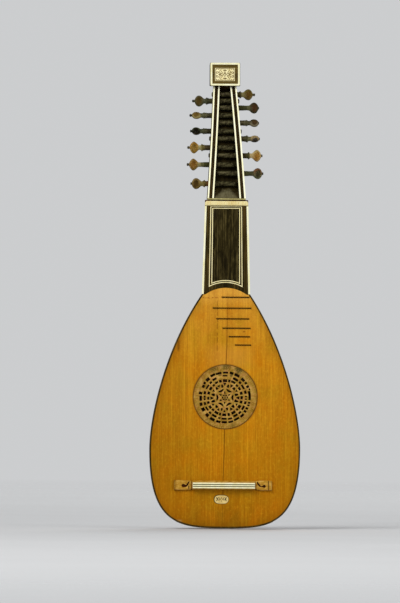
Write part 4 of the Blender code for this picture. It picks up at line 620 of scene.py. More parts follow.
def outline_plate(name, outlines, front, back, material, slot, rounding=0.0, body=BODY):
    """A plate from a closed outline and its openings, across and up, between two depths.

    The front edges are rounded: the outline shrinks there and the openings widen.
    """
    profile = [(0.0, back), (0.0, front + rounding)]
    if rounding:
        profile += [(0.3 * rounding, front + 0.3 * rounding), (rounding, front)]
    shell = bmesh.new()
    loops = {}
    for number, outline in enumerate(outlines):
        area = sum(one[0] * two[1] - two[0] * one[1] for one, two in zip(outline, outline[1:] + outline[:1]))
        outline = outline if area > 0.0 else outline[::-1]
        rings = []
        for growth, behind in profile:
            ring = shrunk(outline, growth if number == 0 else -growth)
            loops[number, behind] = ring
            rings.append([shell.verts.new(at(across, behind, up)) for across, up in ring])
        for lower, upper in zip(rings, rings[1:]):
            for index in range(len(lower)):
                after = (index + 1) % len(lower)
                shell.faces.new((lower[index], lower[after], upper[after], upper[index]))
    for behind in (back, profile[-1][1]):
        points, corners = [], []
        for number in range(len(outlines)):
            ring = loops[number, behind]
            corners.append(list(range(len(points), len(points) + len(ring))))
            points += [Vector(place) for place in ring]
        placed, _, faces, _, _, sources = delaunay_2d_cdt(points, [], corners, 1, 1e-5)
        verts = [shell.verts.new(at(place.x, behind, place.y)) for place in placed]
        for face, source in zip(faces, sources):
            if list(source) == [0]:
                shell.faces.new([verts[index] for index in face])
    bmesh.ops.remove_doubles(shell, verts=shell.verts, dist=0.002 * MM)
    bmesh.ops.delete(shell, geom=[vert for vert in shell.verts if not vert.link_faces], context="VERTS")
    return mesh_piece(name, shell, material, slot, body, 50.0)


# Outlines, in millimetres


def bezier(knots, amount):
    """A point on a cubic curve and the direction in which the curve runs there."""
    start, leaving, arriving, end = (Vector(knot) for knot in knots)
    rest = 1.0 - amount
    point = start * rest**3 + leaving * (3.0 * rest**2 * amount)
    point += arriving * (3.0 * rest * amount**2) + end * amount**3
    direction = (leaving - start) * rest**2 + (arriving - leaving) * (2.0 * rest * amount)
    direction += (end - arriving) * amount**2
    return point, direction.normalized()


LOWER_SIDE = (
    (0.0, 0.0),
    (0.576 * BODY_HALF_WIDTH, 0.0),
    (BODY_HALF_WIDTH, 0.01 * WIDEST),
    (BODY_HALF_WIDTH, WIDEST),
)
UPPER_SIDE = (
    (BODY_HALF_WIDTH, WIDEST),
    (BODY_HALF_WIDTH, WIDEST + 0.22 * (BODY_HEIGHT - WIDEST)),
    (NECK_HALF + SHOULDER * math.sin(SHOULDER_ANGLE), BODY_HEIGHT - SHOULDER * math.cos(SHOULDER_ANGLE)),
    (NECK_HALF, BODY_HEIGHT),
)


def body_side(amount, inset=0.0):
    """Half width and height of the body's edge, from the tail at 0 to the neck at 1."""
    if amount < 0.5:
        point, direction = bezier(LOWER_SIDE, 2.0 * amount)
    else:
        point, direction = bezier(UPPER_SIDE, 2.0 * amount - 1.0)
    return point - Vector((direction.y, -direction.x)) * inset


def find_amount(low, high, passed):
    """The share between low and high at which a test starts to hold."""
    for _ in range(40):
        middle = (low + high) / 2.0
        if passed(middle):
            high = middle
        else:
            low = middle
    return high


def tail_height(half_width, inset):
    """Height of the body's edge at a half width, below the widest place."""
    amount = find_amount(0.0, 0.5, lambda value: body_side(value, inset).x >= half_width)
    return body_side(amount, inset).y


def bowl_point(amount, angle, proud=0.0):
    """A point of the bowl: angle 0 is the treble edge, half a turn the bass edge."""
    half_width, up = body_side(amount, -proud)
    return at(half_width * math.cos(angle), RIM + DEPTH_RATIO * half_width * math.sin(angle), up)


def mirrored(outline):
    return [(-across, up) for across, up in reversed(outline)]


def board_outline(steps=90):
    """The soundboard's edge from the tail round the treble side, over the arch and back."""
    side = [tuple(body_side(index / steps, BOARD_INSET)) for index in range(steps + 1)]
    half_angle = math.acos((BODY_HEIGHT - ARCH_CENTRE) / ARCH_RADIUS)
    tongue = []
    for index in range(25):
        angle = half_angle * (1.0 - index / 12.0)
        tongue.append((ARCH_RADIUS * math.sin(angle), ARCH_CENTRE + ARCH_RADIUS * math.cos(angle)))
    return side + tongue + mirrored(side[1:])


def shrunk(outline, distance):
    """A closed outline that runs anticlockwise, moved inwards, its corners kept."""
    moved = []
    count = len(outline)
    for index, here in enumerate(outline):
        before = Vector(here) - Vector(outline[index - 1])
        after = Vector(outline[(index + 1) % count]) - Vector(here)
        sides = [Vector((-run.y, run.x)).normalized() for run in (before, after)]
        inward = (sides[0] + sides[1]) / max(1.0 + sides[0].dot(sides[1]), 0.35)
        moved.append((here[0] + inward.x * distance, here[1] + inward.y * distance))
    return moved


def circle(radius, centre, steps):
    points = []
    for index in range(steps):
        angle = 2.0 * math.pi * index / steps
        points.append((centre[0] + radius * math.cos(angle), centre[1] + radius * math.sin(angle)))
    return points


# Bowl


RIB_START = find_amount(0.0, 0.5, lambda value: body_side(value).x >= 12.0)


def make_ribs():
    """The eleven ribs, close against each other, each with a slight crown and broken edges."""
    for number in range(1, RIBS + 1):
        first = math.pi * (number - 1) / RIBS
        last = math.pi * number / RIBS

        def place(across, along):
            amount = RIB_START + (1.0 - RIB_START) * along
            seam = 0.2 / body_side(amount).x
            low = first + (seam if number > 1 else 0.0)
            high = last - (seam if number < RIBS else 0.0)
            crown = 0.25 * math.sin(math.pi * across) * min(1.0, 6.0 * (1.0 - along))
            return bowl_point(amount, low + (high - low) * across, crown)

        name = "rib_%02d" % number
        material = RIB_DARK if number % 2 else RIB_LIGHT
        rib = mesh_piece(name + "_strip", sheet(8, 80, place), material, "rosewood")
        thicken(rib, 1.6, True)
        bevelled(rib, 0.12, 1, 60.0)
        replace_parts(rib, name)


def make_seams():
    """Dark lines let in between the ribs, and paper strips glued over the seams inside the bowl."""
    paper = Finish("lining_finish", roughness=0.85, gloss=0.1)
    laid = paper.noise(paper.stretched(500.0, 500.0, 60.0), 1.0, 3.0, 0.6)
    paper.finish(paper.ramp(laid, (0.3, paint(104, 78, 44)), (0.7, paint(136, 108, 68))))
    for name, start, end, width, proud, thickness, material, slot in (
        ("rib_line", RIB_START, 1.0, 0.8, -0.08, 0.9, EBONY, "ebony"),
        ("lining", RIB_START + 0.05, 0.96, 10.0, -1.75, 0.3, paper.material, "limewood"),
    ):
        for number in range(1, RIBS):
            seam = math.pi * number / RIBS

            def place(across, along):
                amount = start + (end - start) * along
                return bowl_point(amount, seam + width * (across - 0.5) / body_side(amount).x, proud)

            strip = mesh_piece("%s_%02d" % (name, number), sheet(4, 60, place), material, slot)
            thicken(strip, thickness, True)


def make_clasp():
    def place(across, along):
        width = 56.0 * (2.0 * across - 1.0)
        reach = 26.0 * math.sqrt(1.0 - (0.98 * width / 56.0) ** 2)
        depth = along * RIM if along < 1.0 / 14.0 else RIM + reach * (along - 1.0 / 14.0) * 14.0 / 13.0
        if along < 0.01:
            depth = 0.0
        behind = max(depth - RIM, 0.0) / DEPTH_RATIO
        return at(width, depth, tail_height(math.hypot(width, behind), -0.3))

    clasp = mesh_piece("clasp_cap", sheet(56, 14, place), EBONY, "ebony")
    thicken(clasp, 0.9)
    bevelled(clasp, 0.25, 2, 60.0)
    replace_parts(clasp, "end_clasp")


# Soundboard

EDGE_FADE = 14.0
HOLE_FADE = 6.0
GRID = 4.0


def inside(outline, across, up):
    """Whether a place lies within a closed outline."""
    within = False
    for index, (this_across, this_up) in enumerate(outline):
        last_across, last_up = outline[index - 1]
        if (this_up > up) != (last_up > up):
            reach = (up - this_up) / (last_up - this_up)
            if across < this_across + reach * (last_across - this_across):
                within = not within
    return within


def make_soundboard():
    """The plate, with how near each place is to its edge and to the rose kept for its finish."""
    outline = board_outline()
    opening = circle(ROSE_HOLE, (0.0, ROSE_UP), 120)
    rim = KDTree(len(outline))
    for index, (across, up) in enumerate(outline):
        rim.insert((across, up, 0.0), index)
    rim.balance()
    places = outline + opening
    for row in range(int(BODY_HEIGHT / GRID) + 3):
        for column in range(-23, 24):
            across = GRID * (column + 0.5 * (row % 2))
            up = GRID * row
            near = rim.find((across, up, 0.0))[2]
            from_rose = math.hypot(across, up - ROSE_UP) - ROSE_HOLE
            if near > 1.5 and from_rose > 1.5 and inside(outline, across, up):
                places.append((across, up))
    for away in (0.6, 1.6, 3.2):
        places += circle(ROSE_HOLE + away, (0.0, ROSE_UP), 90)
    loops = []
    for start, length in ((0, len(outline)), (len(outline), len(opening))):
        loops += [(start + index, start + (index + 1) % length) for index in range(length)]
    flat = [Vector(place) for place in places]
    points, _, faces, _, _, _ = delaunay_2d_cdt(flat, loops, [], 1, 0.001)
    shell = bmesh.new()
    edge_layer = shell.verts.layers.float.new("edge")
    hole_layer = shell.verts.layers.float.new("hole")
    for point in points:
        vert = shell.verts.new(at(point.x, 0.0, point.y))
        near = rim.find((point.x, point.y, 0.0))[2]
        from_rose = math.hypot(point.x, point.y - ROSE_UP) - ROSE_HOLE
        vert[edge_layer] = max(0.0, 1.0 - near / EDGE_FADE)
        vert[hole_layer] = max(0.0, 1.0 - from_rose / HOLE_FADE)
    shell.verts.ensure_lookup_table()
    for face in faces:
        corners = [points[index] for index in face]
        middle = sum(corners, Vector((0.0, 0.0))) / 3.0
        if math.hypot(middle.x, middle.y - ROSE_UP) > ROSE_HOLE - 0.1:
            shell.faces.new([shell.verts[index] for index in face])
    mesh = bpy.data.meshes.new("soundboard_plate")
    shell.normal_update()
    for face in shell.faces:
        if face.normal.y > 0.0:
            face.normal_flip()
    shell.to_mesh(mesh)
    shell.free()
    board = new_object("soundboard_plate", mesh, SPRUCE, "golden_spruce")
    thicken(board, 2.0)
    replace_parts(board, "soundboard")


def make_edging():
    """The dark strip round the plate, which laps a little over it and down to the ribs."""
    steps = 90
    outer = [tuple(body_side(index / steps)) for index in range(steps + 1)]
    inner = [tuple(body_side(index / steps, 1.85)) for index in range(steps + 1)]
    outline = mirrored(outer) + outer[1:] + inner[:0:-1] + mirrored(inner[::-1])
    edging = outline_plate("edging_strip", [outline], -0.06, 2.32, EDGING, "ebony", 0.12)
    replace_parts(edging, "soundboard_edging")


# Rose


ROSE_CENTRE = (-0.3, ROSE_UP - 0.8)

# Each opening, cut by hand: its angle from straight up, its middle's radius, its length along the
# ring, and its depth
ROSE_OPENINGS = {
    "outer": (
        (1, 28.8, 6.0, 2.3), (15, 29.2, 4.5, 3.0), (28, 29.5, 6.4, 3.7), (45, 29.5, 4.8, 3.8),
        (55, 29.3, 2.7, 2.7), (64, 29.1, 3.0, 3.6), (71, 29.8, 2.5, 1.9), (85, 28.6, 10.6, 2.8),
        (102, 28.5, 2.3, 2.8), (108, 28.6, 2.1, 2.8), (116, 28.2, 2.5, 3.1), (124, 28.2, 2.7, 3.3),
        (136, 28.7, 5.0, 2.8), (151, 28.2, 6.8, 2.5), (166, 28.8, 5.8, 2.3), (181, 28.5, 6.0, 2.6),
        (195, 28.8, 5.3, 2.7), (210, 28.9, 6.0, 3.3), (225, 28.8, 4.1, 3.7), (241, 28.7, 4.5, 4.1),
        (254, 28.6, 3.9, 3.2), (268, 28.0, 6.0, 3.1), (280, 28.7, 3.2, 4.1), (297, 28.0, 3.6, 3.1),
        (305, 28.8, 2.8, 2.8), (316, 28.7, 4.8, 3.7), (331, 29.3, 6.0, 2.7), (345, 28.8, 6.8, 2.5),
    ),
    "middle": (
        (30, 24.2, 6.5, 2.9), (45, 24.3, 3.0, 2.7), (59, 24.0, 5.7, 2.4), (75, 24.3, 3.8, 2.7),
        (87, 24.3, 1.8, 2.3), (94, 24.3, 1.7, 2.3), (104, 24.2, 3.5, 2.7), (119, 24.1, 5.4, 2.6),
        (135, 24.4, 3.9, 2.5), (149, 24.0, 5.7, 2.5), (166, 25.0, 4.9, 2.0), (182, 24.5, 5.9, 2.4),
        (195, 24.5, 2.8, 2.0), (210, 24.4, 5.9, 2.5), (224, 24.5, 3.1, 2.5), (238, 24.4, 5.4, 2.0),
        (253, 24.1, 3.5, 2.5), (265, 23.5, 2.2, 2.4), (272, 23.5, 2.4, 2.4), (283, 23.8, 3.6, 2.7),
        (301, 23.6, 5.7, 2.1), (316, 23.7, 3.1, 2.5), (330, 24.3, 5.2, 2.5), (360, 25.3, 5.5, 1.9),
    ),
    "inner": (
        (0, 19.5, 5.0, 3.3), (14, 19.8, 2.7, 3.1), (28, 20.2, 5.3, 2.6), (45, 19.5, 3.2, 2.5),
        (58, 19.6, 3.8, 2.8), (75, 19.4, 3.4, 3.0), (90, 19.3, 3.9, 2.8), (105, 19.4, 3.2, 2.9),
        (122, 19.6, 3.9, 3.6), (134, 19.6, 2.4, 2.6), (150, 19.9, 5.1, 3.0), (167, 20.0, 2.9, 3.4),
        (182, 20.0, 4.7, 3.1), (196, 19.9, 2.6, 3.1), (209, 20.0, 4.9, 2.9), (224, 19.7, 3.0, 2.6),
        (237, 20.2, 3.8, 3.0), (253, 20.0, 2.9, 3.0), (267, 19.2, 3.5, 2.6), (285, 19.4, 3.3, 3.0),
        (302, 19.4, 4.0, 3.0), (317, 19.1, 3.0, 2.4), (330, 19.7, 4.0, 2.4), (344, 19.6, 3.2, 3.0),
    ),
    "leaves": (
        (15, 13.7, 3.5, 3.8), (45, 14.7, 4.5, 3.2), (76, 13.7, 3.8, 4.2), (107, 13.8, 3.8, 4.6),
        (137, 14.1, 4.2, 3.8), (169, 13.5, 3.5, 3.2), (195, 14.3, 2.8, 3.4), (222, 14.4, 4.3, 3.0),
        (252, 14.3, 3.8, 4.4), (283, 13.9, 4.0, 4.2), (318, 14.1, 3.7, 3.3), (346, 13.6, 3.1, 3.9),
    ),
    "small": (
        (29, 15.1, 3.0, 3.3), (60, 15.3, 2.6, 2.2), (91, 15.0, 3.1, 3.8), (120, 15.5, 2.6, 2.4),
        (151, 14.9, 3.0, 3.1), (182, 15.9, 2.3, 2.3), (208, 15.7, 2.8, 2.6), (239, 15.9, 2.8, 2.4),
        (267, 15.2, 3.1, 3.6), (300, 15.1, 2.6, 2.4), (331, 14.7, 3.0, 2.7), (359, 15.5, 2.9, 3.1),
    ),
    "points": (
        (57, 6.2, 3.0, 3.4), (121, 5.8, 3.1, 2.8), (183, 6.5, 2.8, 3.0), (237, 6.4, 3.1, 3.0),
        (301, 6.6, 3.0, 3.4), (358, 6.2, 3.0, 3.0),
    ),
}
ROSE_SHAPES = {
    "leaves": ((0.17, 0.5), (0.38, 0.0), (0.5, -0.42), (0.0, -0.5), (-0.5, -0.42), (-0.38, 0.0), (-0.17, 0.5)),
    "small": ((-0.6, 0.5), (0.6, 0.5), (0.12, -0.6), (-0.12, -0.6)),
    "points": ((0.0, 0.6), (0.55, -0.5), (-0.55, -0.5)),
}


def polar(radius, degrees):
    """A place on the rose, with the angle measured from straight up."""
    angle = math.radians(degrees)
    return (ROSE_CENTRE[0] + radius * math.sin(angle), ROSE_CENTRE[1] + radius * math.cos(angle))


def cell(inner, outer, middle, width, steps=4):
    angles = [middle + width * (index / steps - 0.5) for index in range(steps + 1)]
    far = [polar(outer, angle) for angle in angles]
    return far + [polar(inner, angle) for angle in reversed(angles)]


def rose_openings():
    openings = []
    for group, cuts in ROSE_OPENINGS.items():
        for turn, radius, along, deep in cuts:
            if group in ROSE_SHAPES:
                shape = ROSE_SHAPES[group]
                outline = [polar(radius + up * deep, turn + math.degrees(side * along / radius)) for side, up in shape]
                openings.append(outline)
            else:
                openings.append(cell(radius - deep / 2.0, radius + deep / 2.0, turn, math.degrees(along / radius)))
    notch = ((7.3, 0.0), (8.1, 14.0), (10.3, 23.0), (10.2, 12.0), (9.7, 0.0), (10.2, -12.0), (10.3, -23.0), (8.1, -14.0))
    for point in range(6):
        turn = 30.0 + 60.0 * point
        openings.append([polar(radius, turn + lean) for radius, lean in notch])
        openings.append(cell(2.1, 3.5, turn, 47.0))
    return openings


def rose_ring(shell, radius, half, proud, steps=96):
    """A raised strand round the rose."""
    loops = []
    for index in range(steps):
        angle = 2.0 * math.pi * index / steps
        loop = []
        for step in range(6):
            turn = 2.0 * math.pi * step / 6
            reach = radius + half * math.cos(turn)
            across, up = polar(reach, math.degrees(angle))
            place = at(across, 0.4 - proud * math.sin(turn), up)
            loop.append(shell.verts.new(place))
        loops.append(loop)
    for index, lower in enumerate(loops):
        upper = loops[(index + 1) % steps]
        for step in range(6):
            after = (step + 1) % 6
            shell.faces.new((lower[step], lower[after], upper[after], upper[step]))


def make_rose():
    """The pierced disc, its raised strands, the ticks of its rim, and the small flower."""
    outline = circle(ROSE_RADIUS, (0.0, ROSE_UP), 120)
    plate = outline_plate("rose_plate", [outline] + rose_openings(), 0.3, 1.6, ROSE, "golden_spruce", 0.14)
    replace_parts(plate, "rose")

    strands = bmesh.new()
    for radius, half in ((30.9, 0.3), (26.3, 0.25), (22.0, 0.3), (17.5, 0.3), (11.4, 0.25), (4.3, 0.25)):
        rose_ring(strands, radius, half, 0.28)
    rose_ring(strands, 36.0, 0.4, 0.35, 120)
    mesh_piece("rose_rings", strands, ROSE, "golden_spruce", BODY, 60.0)

    ticks = bmesh.new()
    for count, inner, outer, width in ((60, 31.4, 33.4, 0.7), (84, 33.8, 35.7, 0.6)):
        for index in range(count):
            angle = 360.0 * index / count
            half = math.degrees(width / (inner + outer))
            foot = [polar(inner, angle - half), polar(inner, angle + half), polar(outer, angle + half), polar(outer, angle - half)]
            middle = [polar(inner + 0.3, angle), polar(outer - 0.3, angle)]
            low = [ticks.verts.new(at(across, 0.5, up)) for across, up in foot]
            high = [ticks.verts.new(at(across, 0.05, up)) for across, up in middle]
            ticks.faces.new((low[0], low[1], high[0]))
            ticks.faces.new((low[1], low[2], high[1], high[0]))
            ticks.faces.new((low[2], low[3], high[1]))
            ticks.faces.new((low[3], low[0], high[0], high[1]))
            ticks.faces.new(low)
    mesh_piece("rose_rim_ticks", ticks, ROSE_TICKS, "golden_spruce", BODY, 60.0)

    flower = bmesh.new()
    rings = []
    for reach, behind in ((1.7, 0.5), (1.7, 0.25), (1.3, 0.05), (0.8, 0.0), (0.5, 0.15)):
        ring = []
        for index in range(36):
            angle = 2.0 * math.pi * index / 36
            wave = 1.0 + 0.14 * math.cos(6.0 * angle) * reach / 2.0
            across, up = polar(reach * wave, math.degrees(angle))
            ring.append(at(across, behind, up))
        rings.append(ring)
    loft(flower, rings)
    mesh_piece("rose_flower", flower, ROSE_DARK, "golden_spruce", BODY, 50.0)


# Fingerboard and nut


LINE_SHIFT = -0.45


def frame_outline(top_half, foot_half, top, apex, steps=32):
    """A frame with straight sides, a level top and an arched foot."""
    radius = apex - LINE_ARC_CENTRE
    half_angle = math.asin(foot_half / radius)
    points = [(top_half + LINE_SHIFT, top), (-top_half + LINE_SHIFT, top)]
    for index in range(steps + 1):
        angle = half_angle * (2.0 * index / steps - 1.0)
        points.append((radius * math.sin(angle) + LINE_SHIFT, LINE_ARC_CENTRE + radius * math.cos(angle)))
    return points


def make_fingerboard():
    """The middle panel and the two ivory lines round it, thinner across their tops."""
    panel = frame_outline(15.05, 15.55, 368.3, 286.05)
    outline_plate("fingerboard_panel", [panel], -0.04, 0.5, PANEL, "fingerboard_wood", 0.03)
    half = 0.46
    for node, top_half, foot_half, top, apex, top_line in (
        ("inlay_line_outer", 17.7, 19.0, 370.6, 283.5, 0.22),
        ("inlay_line_inner", 15.55, 16.05, 368.8, 285.55, 0.36),
    ):
        line = [
            frame_outline(top_half + side * half, foot_half + side * half, top + side * top_line, apex - side * half)
            for side in (1.0, -1.0)
        ]
        piece = outline_plate(node + "_strip", line, -0.05, 0.6, INLAY, "ivory", 0.05)
        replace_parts(piece, node)


def make_nut():
    """The nut: rounded along its crest, slanted at its corners, and notched for each string."""
    low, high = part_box("nut")
    half = high.x / MM
    foot = (low.z - TAIL) / MM
    top = (high.z - TAIL) / MM
    notches = []
    for course in range(6):
        middle = (course - 2.5) * 8.1
        notches += [middle - 1.3, middle + 1.3]
    stops = set()
    for away in (0.02, 0.35, 1.0, 1.9):
        stops.update((away - half, half - away))
    for notch in notches:
        for away in (0.2, 0.45, 0.75):
            stops.update((notch - away, notch + away))
    shell = bmesh.new()
    rings = []
    for across in sorted(stops):
        away = min(abs(across - notch) for notch in notches)
        dip = 0.0 if away > 0.6 else (0.45 if away > 0.3 else 0.75)
        end = min(1.0, (half - abs(across)) / 0.6)
        proud = 1.7 * (0.5 + 0.5 * end) - dip
        crest = top - max(0.0, abs(across) - half + 1.9)
        profile = (
            (2.0, foot), (2.0, crest), (-0.4 * proud, crest - 0.1), (-0.85 * proud, crest - 0.55),
            (-proud, crest - 1.3), (-proud + 0.05, foot + 1.2), (-0.8 * proud, foot + 0.5), (-0.3 * proud, foot + 0.05),
        )
        rings.append([at(across, behind, up) for behind, up in profile])
    loft(shell, rings)
    nut = mesh_piece("nut_bar", shell, NUT_BONE, "bone", BODY, 40.0)
    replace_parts(nut, "nut")


# Neck and pegbox


def make_neck_and_back():
    """The rounded neck, the pegbox's back let into both cheeks, and the neck's glued ends."""
    mesh = copied("pegbox_back")
    for vert in mesh.vertices:
        vert.co.x += math.copysign(0.45 * MM, vert.co.x)
    board = new_object("pegbox_back_board", mesh, BACK, "stained_wood")
    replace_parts(bevelled(board, 0.12, 1), "pegbox_back")
    neck = copied("neck")
    neck.shade_smooth()
    neck.set_sharp_from_angle(angle=math.radians(60.0))
    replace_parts(new_object("neck_shell", neck, NECK, "rosewood"), "neck")
    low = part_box("pegbox_cheek_bass")[0]
    neck_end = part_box("neck")[1].z
    corners = ((1.0, 1.0), (1.0, 6.0), (-1.0, 6.0), (-1.0, 1.0))
    joint = bmesh.new()
    loft(joint, [
        [Vector(((low.x + 0.5 * MM) * side, low.y + behind * MM, up)) for side, behind in corners]
        for up in (neck_end - 0.1 * MM, low.z + 0.1 * MM)
    ])
    mesh_piece("pegbox_glue", joint, STAINED, "stained_wood")
    half_round = [bowl_point(1.0, math.pi * index / 24, -0.35) for index in range(25)]
    joint = bmesh.new()
    loft(joint, [
        [Vector((point.x, point.y, TAIL + up * MM)) for point in half_round]
        for up in (BODY_HEIGHT - 0.1, BODY_HEIGHT + 0.4)
    ])
    mesh_piece("neck_glue", joint, STAINED, "stained_wood")


# Pegs


STEM = ((0.0, 3.1), (0.4, 3.08))
RINGED = ((3.0, 3.1), (3.3, 3.45), (3.7, 3.5), (4.1, 3.15), (4.4, 3.5), (4.8, 3.55), (5.1, 3.4), (5.4, 4.15), (6.1, 4.3), (6.6, 4.0), (7.0, 3.3))
FLANGED = ((3.4, 3.1), (4.6, 3.2), (5.0, 4.05), (5.4, 4.25), (6.0, 4.2), (6.4, 3.7), (6.7, 3.4))
FINE_RINGED = (
    (2.4, 3.05), (2.7, 3.35), (3.1, 3.35), (3.4, 3.1), (3.9, 3.1), (4.2, 3.4), (4.6, 3.4), (4.9, 3.15), (5.4, 3.2), (5.7, 3.7),
    (6.2, 3.75), (6.6, 3.4),
)
PLAIN = ((2.0, 3.0), (4.0, 2.85), (6.5, 2.7))
ROUND_HEAD = (
    (7.8, 2.85, 2.75), (8.8, 2.85, 2.5), (9.8, 3.3, 2.25), (10.8, 4.2, 2.05), (11.8, 5.15, 1.95), (12.8, 5.8, 1.9), (13.8, 6.2, 1.85),
    (14.8, 6.4, 1.8), (15.8, 6.35, 1.8), (16.8, 6.0, 1.8), (17.8, 5.3, 1.8), (18.6, 4.4, 1.75), (19.3, 3.3, 1.6), (19.8, 2.2, 1.3),
)
DIAMOND_HEAD = (
    (7.8, 2.75, 2.65), (8.8, 2.6, 2.4), (9.8, 2.95, 2.2), (10.8, 3.8, 2.05), (11.8, 4.8, 1.95), (12.8, 5.7, 1.9), (13.8, 6.4, 1.85),
    (14.6, 6.8, 1.8), (15.4, 6.88, 1.8), (16.2, 6.7, 1.8), (17.0, 6.2, 1.8), (17.9, 5.3, 1.75), (18.8, 4.2, 1.6), (19.6, 2.8, 1.35),
)
PIP = ((20.1, 1.5), (20.5, 1.3), (20.9, 1.45), (21.4, 1.7), (22.0, 1.7), (22.6, 1.35), (22.9, 0.8))

# Each peg: its stem, head, quarter turn of the head, and the tones of stem, ring, collar, the
# head's upper and lower edge (which carry painted highlight and shade), its face and its pip, then how light the fine
# rings and flecks are
PEGS = {
    "peg_bass_6": (
        RINGED, ROUND_HEAD, 0.0,
        (60, 58, 36), (46, 50, 30), (66, 70, 50), (72, 65, 38), (64, 60, 34), (66, 51, 14), (60, 66, 52), 0.1, 0.0,
    ),
    "peg_bass_5": (
        FINE_RINGED, ROUND_HEAD, -55.0,
        (36, 38, 20), (58, 60, 36), (72, 74, 46), (100, 82, 44), (128, 114, 66), (104, 80, 32), (36, 42, 38), 0.3, 0.15,
    ),
    "peg_bass_4": (
        FINE_RINGED, ROUND_HEAD, -50.0,
        (34, 34, 18), (50, 52, 34), (56, 60, 40), (62, 70, 48), (4, 5, 1), (8, 7, 1), (50, 58, 50), 0.15, 0.0,
    ),
    "peg_bass_3": (
        RINGED, DIAMOND_HEAD, 0.0,
        (62, 52, 28), (98, 88, 44), (150, 140, 92), (142, 100, 26), (116, 86, 22), (118, 90, 34), (84, 80, 60), 0.1, 0.35,
    ),
    "peg_bass_2": (
        PLAIN, DIAMOND_HEAD, 0.0,
        (50, 52, 22), (86, 84, 50), (128, 118, 78), (122, 90, 32), (92, 68, 14), (110, 74, 24), (66, 62, 42), 0.0, 0.3,
    ),
    "peg_bass_1": (
        FLANGED, ROUND_HEAD, 0.0,
        (90, 46, 14), (100, 84, 42), (112, 100, 54), (118, 98, 54), (86, 68, 24), (62, 43, 8), (72, 72, 60), 0.0, 0.0,
    ),
    "peg_treble_6": (
        FLANGED, ROUND_HEAD, 0.0,
        (66, 56, 28), (50, 46, 20), (120, 112, 70), (86, 74, 26), (84, 70, 32), (80, 56, 11), (72, 68, 46), 0.0, 0.1,
    ),
    "peg_treble_5": (
        PLAIN, ROUND_HEAD, 0.0,
        (46, 48, 24), (60, 62, 36), (84, 84, 54), (50, 42, 24), (46, 46, 28), (60, 36, 16), (84, 88, 80), 0.0, 0.0,
    ),
    "peg_treble_4": (
        FINE_RINGED, ROUND_HEAD, -50.0,
        (34, 32, 12), (58, 58, 38), (62, 60, 40), (52, 46, 26), (106, 98, 76), (66, 48, 24), (60, 62, 54), 0.3, 0.0,
    ),
    "peg_treble_3": (
        RINGED, ROUND_HEAD, 58.0,
        (48, 44, 20), (60, 60, 36), (96, 94, 60), (164, 142, 98), (8, 7, 1), (38, 28, 6), (50, 56, 36), 0.1, 0.0,
    ),
    "peg_treble_2": (
        FLANGED, DIAMOND_HEAD, 0.0,
        (46, 42, 22), (64, 62, 32), (174, 152, 104), (156, 132, 80), (134, 98, 48), (136, 94, 32), (84, 84, 70), 0.0, 0.5,
    ),
    "peg_treble_1": (
        PLAIN, ROUND_HEAD, 0.0,
        (60, 60, 32), (60, 62, 38), (60, 60, 38), (96, 62, 38), (70, 74, 50), (42, 40, 24), (28, 32, 18), 0.0, 0.15,
    ),
}

PEG_HEAD_LENGTH = 23.0
PIP_FOOT = 19.8

# How far a head stands inwards of the CAD's, and how much of its pip is worn away
PEG_WEAR = {
    "peg_bass_1": (0.0, 1.4),
    "peg_bass_4": (0.0, 0.9),
    "peg_treble_1": (1.5, 1.5),
    "peg_treble_2": (0.2, 1.2),
    "peg_treble_3": (0.5, 2.1),
    "peg_treble_4": (0.3, 2.4),
    "peg_treble_5": (0.8, 2.1),
    "peg_treble_6": (1.9, 0.0),
}


def peg_ring(across, thick, out, dish=0.0, steps=36):
    """One section of a peg. A dish hollows the faces of its head between the raised edges."""
    ring = []
    for index in range(steps):
        angle = 2.0 * math.pi * index / steps
        over = math.cos(angle)
        depth = thick * math.sin(angle)
        if dish:
            depth *= abs(math.sin(angle)) ** -0.35 if abs(math.sin(angle)) > 0.1 else 1.0
            depth *= 1.0 - dish * max(0.0, 1.0 - (over / 0.8) ** 2)
        ring.append(Vector((across * over, depth, out)) * MM)
    return ring


def make_peg(node, look):
    """A turned peg that replaces its CAD node, riding on its own body."""
    stem, head, turn, *tones = look
    joint = next(entry for entry in frame["joints"] if entry["child"] == node)
    centre = Vector(joint["pos_m"])
    outward = 1.0 if joint["axis"][0] > 0.0 else -1.0
    low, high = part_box(node)
    reach = (high.x - centre.x if outward > 0.0 else centre.x - low.x) / MM
    set_in, worn = PEG_WEAR.get(node, (0.0, 0.0))
    out = reach - PEG_HEAD_LENGTH - set_in
    tip = PEG_HEAD_LENGTH - (high.x - low.x) / MM + set_in
    pip_scale = 1.0 - worn / (PEG_HEAD_LENGTH - PIP_FOOT)
    end = 3.1 + (tip + out) / 60.0
    shaft = ((tip, 0.5 * end), (tip + 0.15, 0.88 * end), (tip + 0.5, end))
    placing = (
        Matrix.Translation(centre + Vector((outward * out * MM, 0.0, 0.0)))
        @ Matrix.Rotation(math.radians(turn), 4, "X")
        @ Matrix.Rotation(outward * math.pi / 2.0, 4, "Y")
    )
    shell = bmesh.new()
    rings = [peg_ring(radius, radius, place) for place, radius in shaft]
    rings += [peg_ring(radius, radius, place - out) for place, radius in STEM if place - out < stem[0][0]]
    rings += [peg_ring(radius, radius, place) for place, radius in stem]
    for place, across, thick in head:
        dish = 0.55 * max(0.0, 1.0 - ((place - 15.2) / 3.9) ** 2)
        rings.append(peg_ring(across, thick, place, dish))
    for place, radius in PIP:
        rings.append(peg_ring(radius, radius, PIP_FOOT + (place - PIP_FOOT) * pip_scale))
    rings.append(peg_ring(0.25, 0.25, PIP_FOOT + (PEG_HEAD_LENGTH - PIP_FOOT) * pip_scale))
    loft(shell, rings)
    finish = peg_finish(node + "_finish", -outward, *tones)
    peg = mesh_piece(node + "_turned", shell, finish, "peg_wood", node, 50.0)
    peg.matrix_world = placing
    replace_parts(peg, node)


# Finial

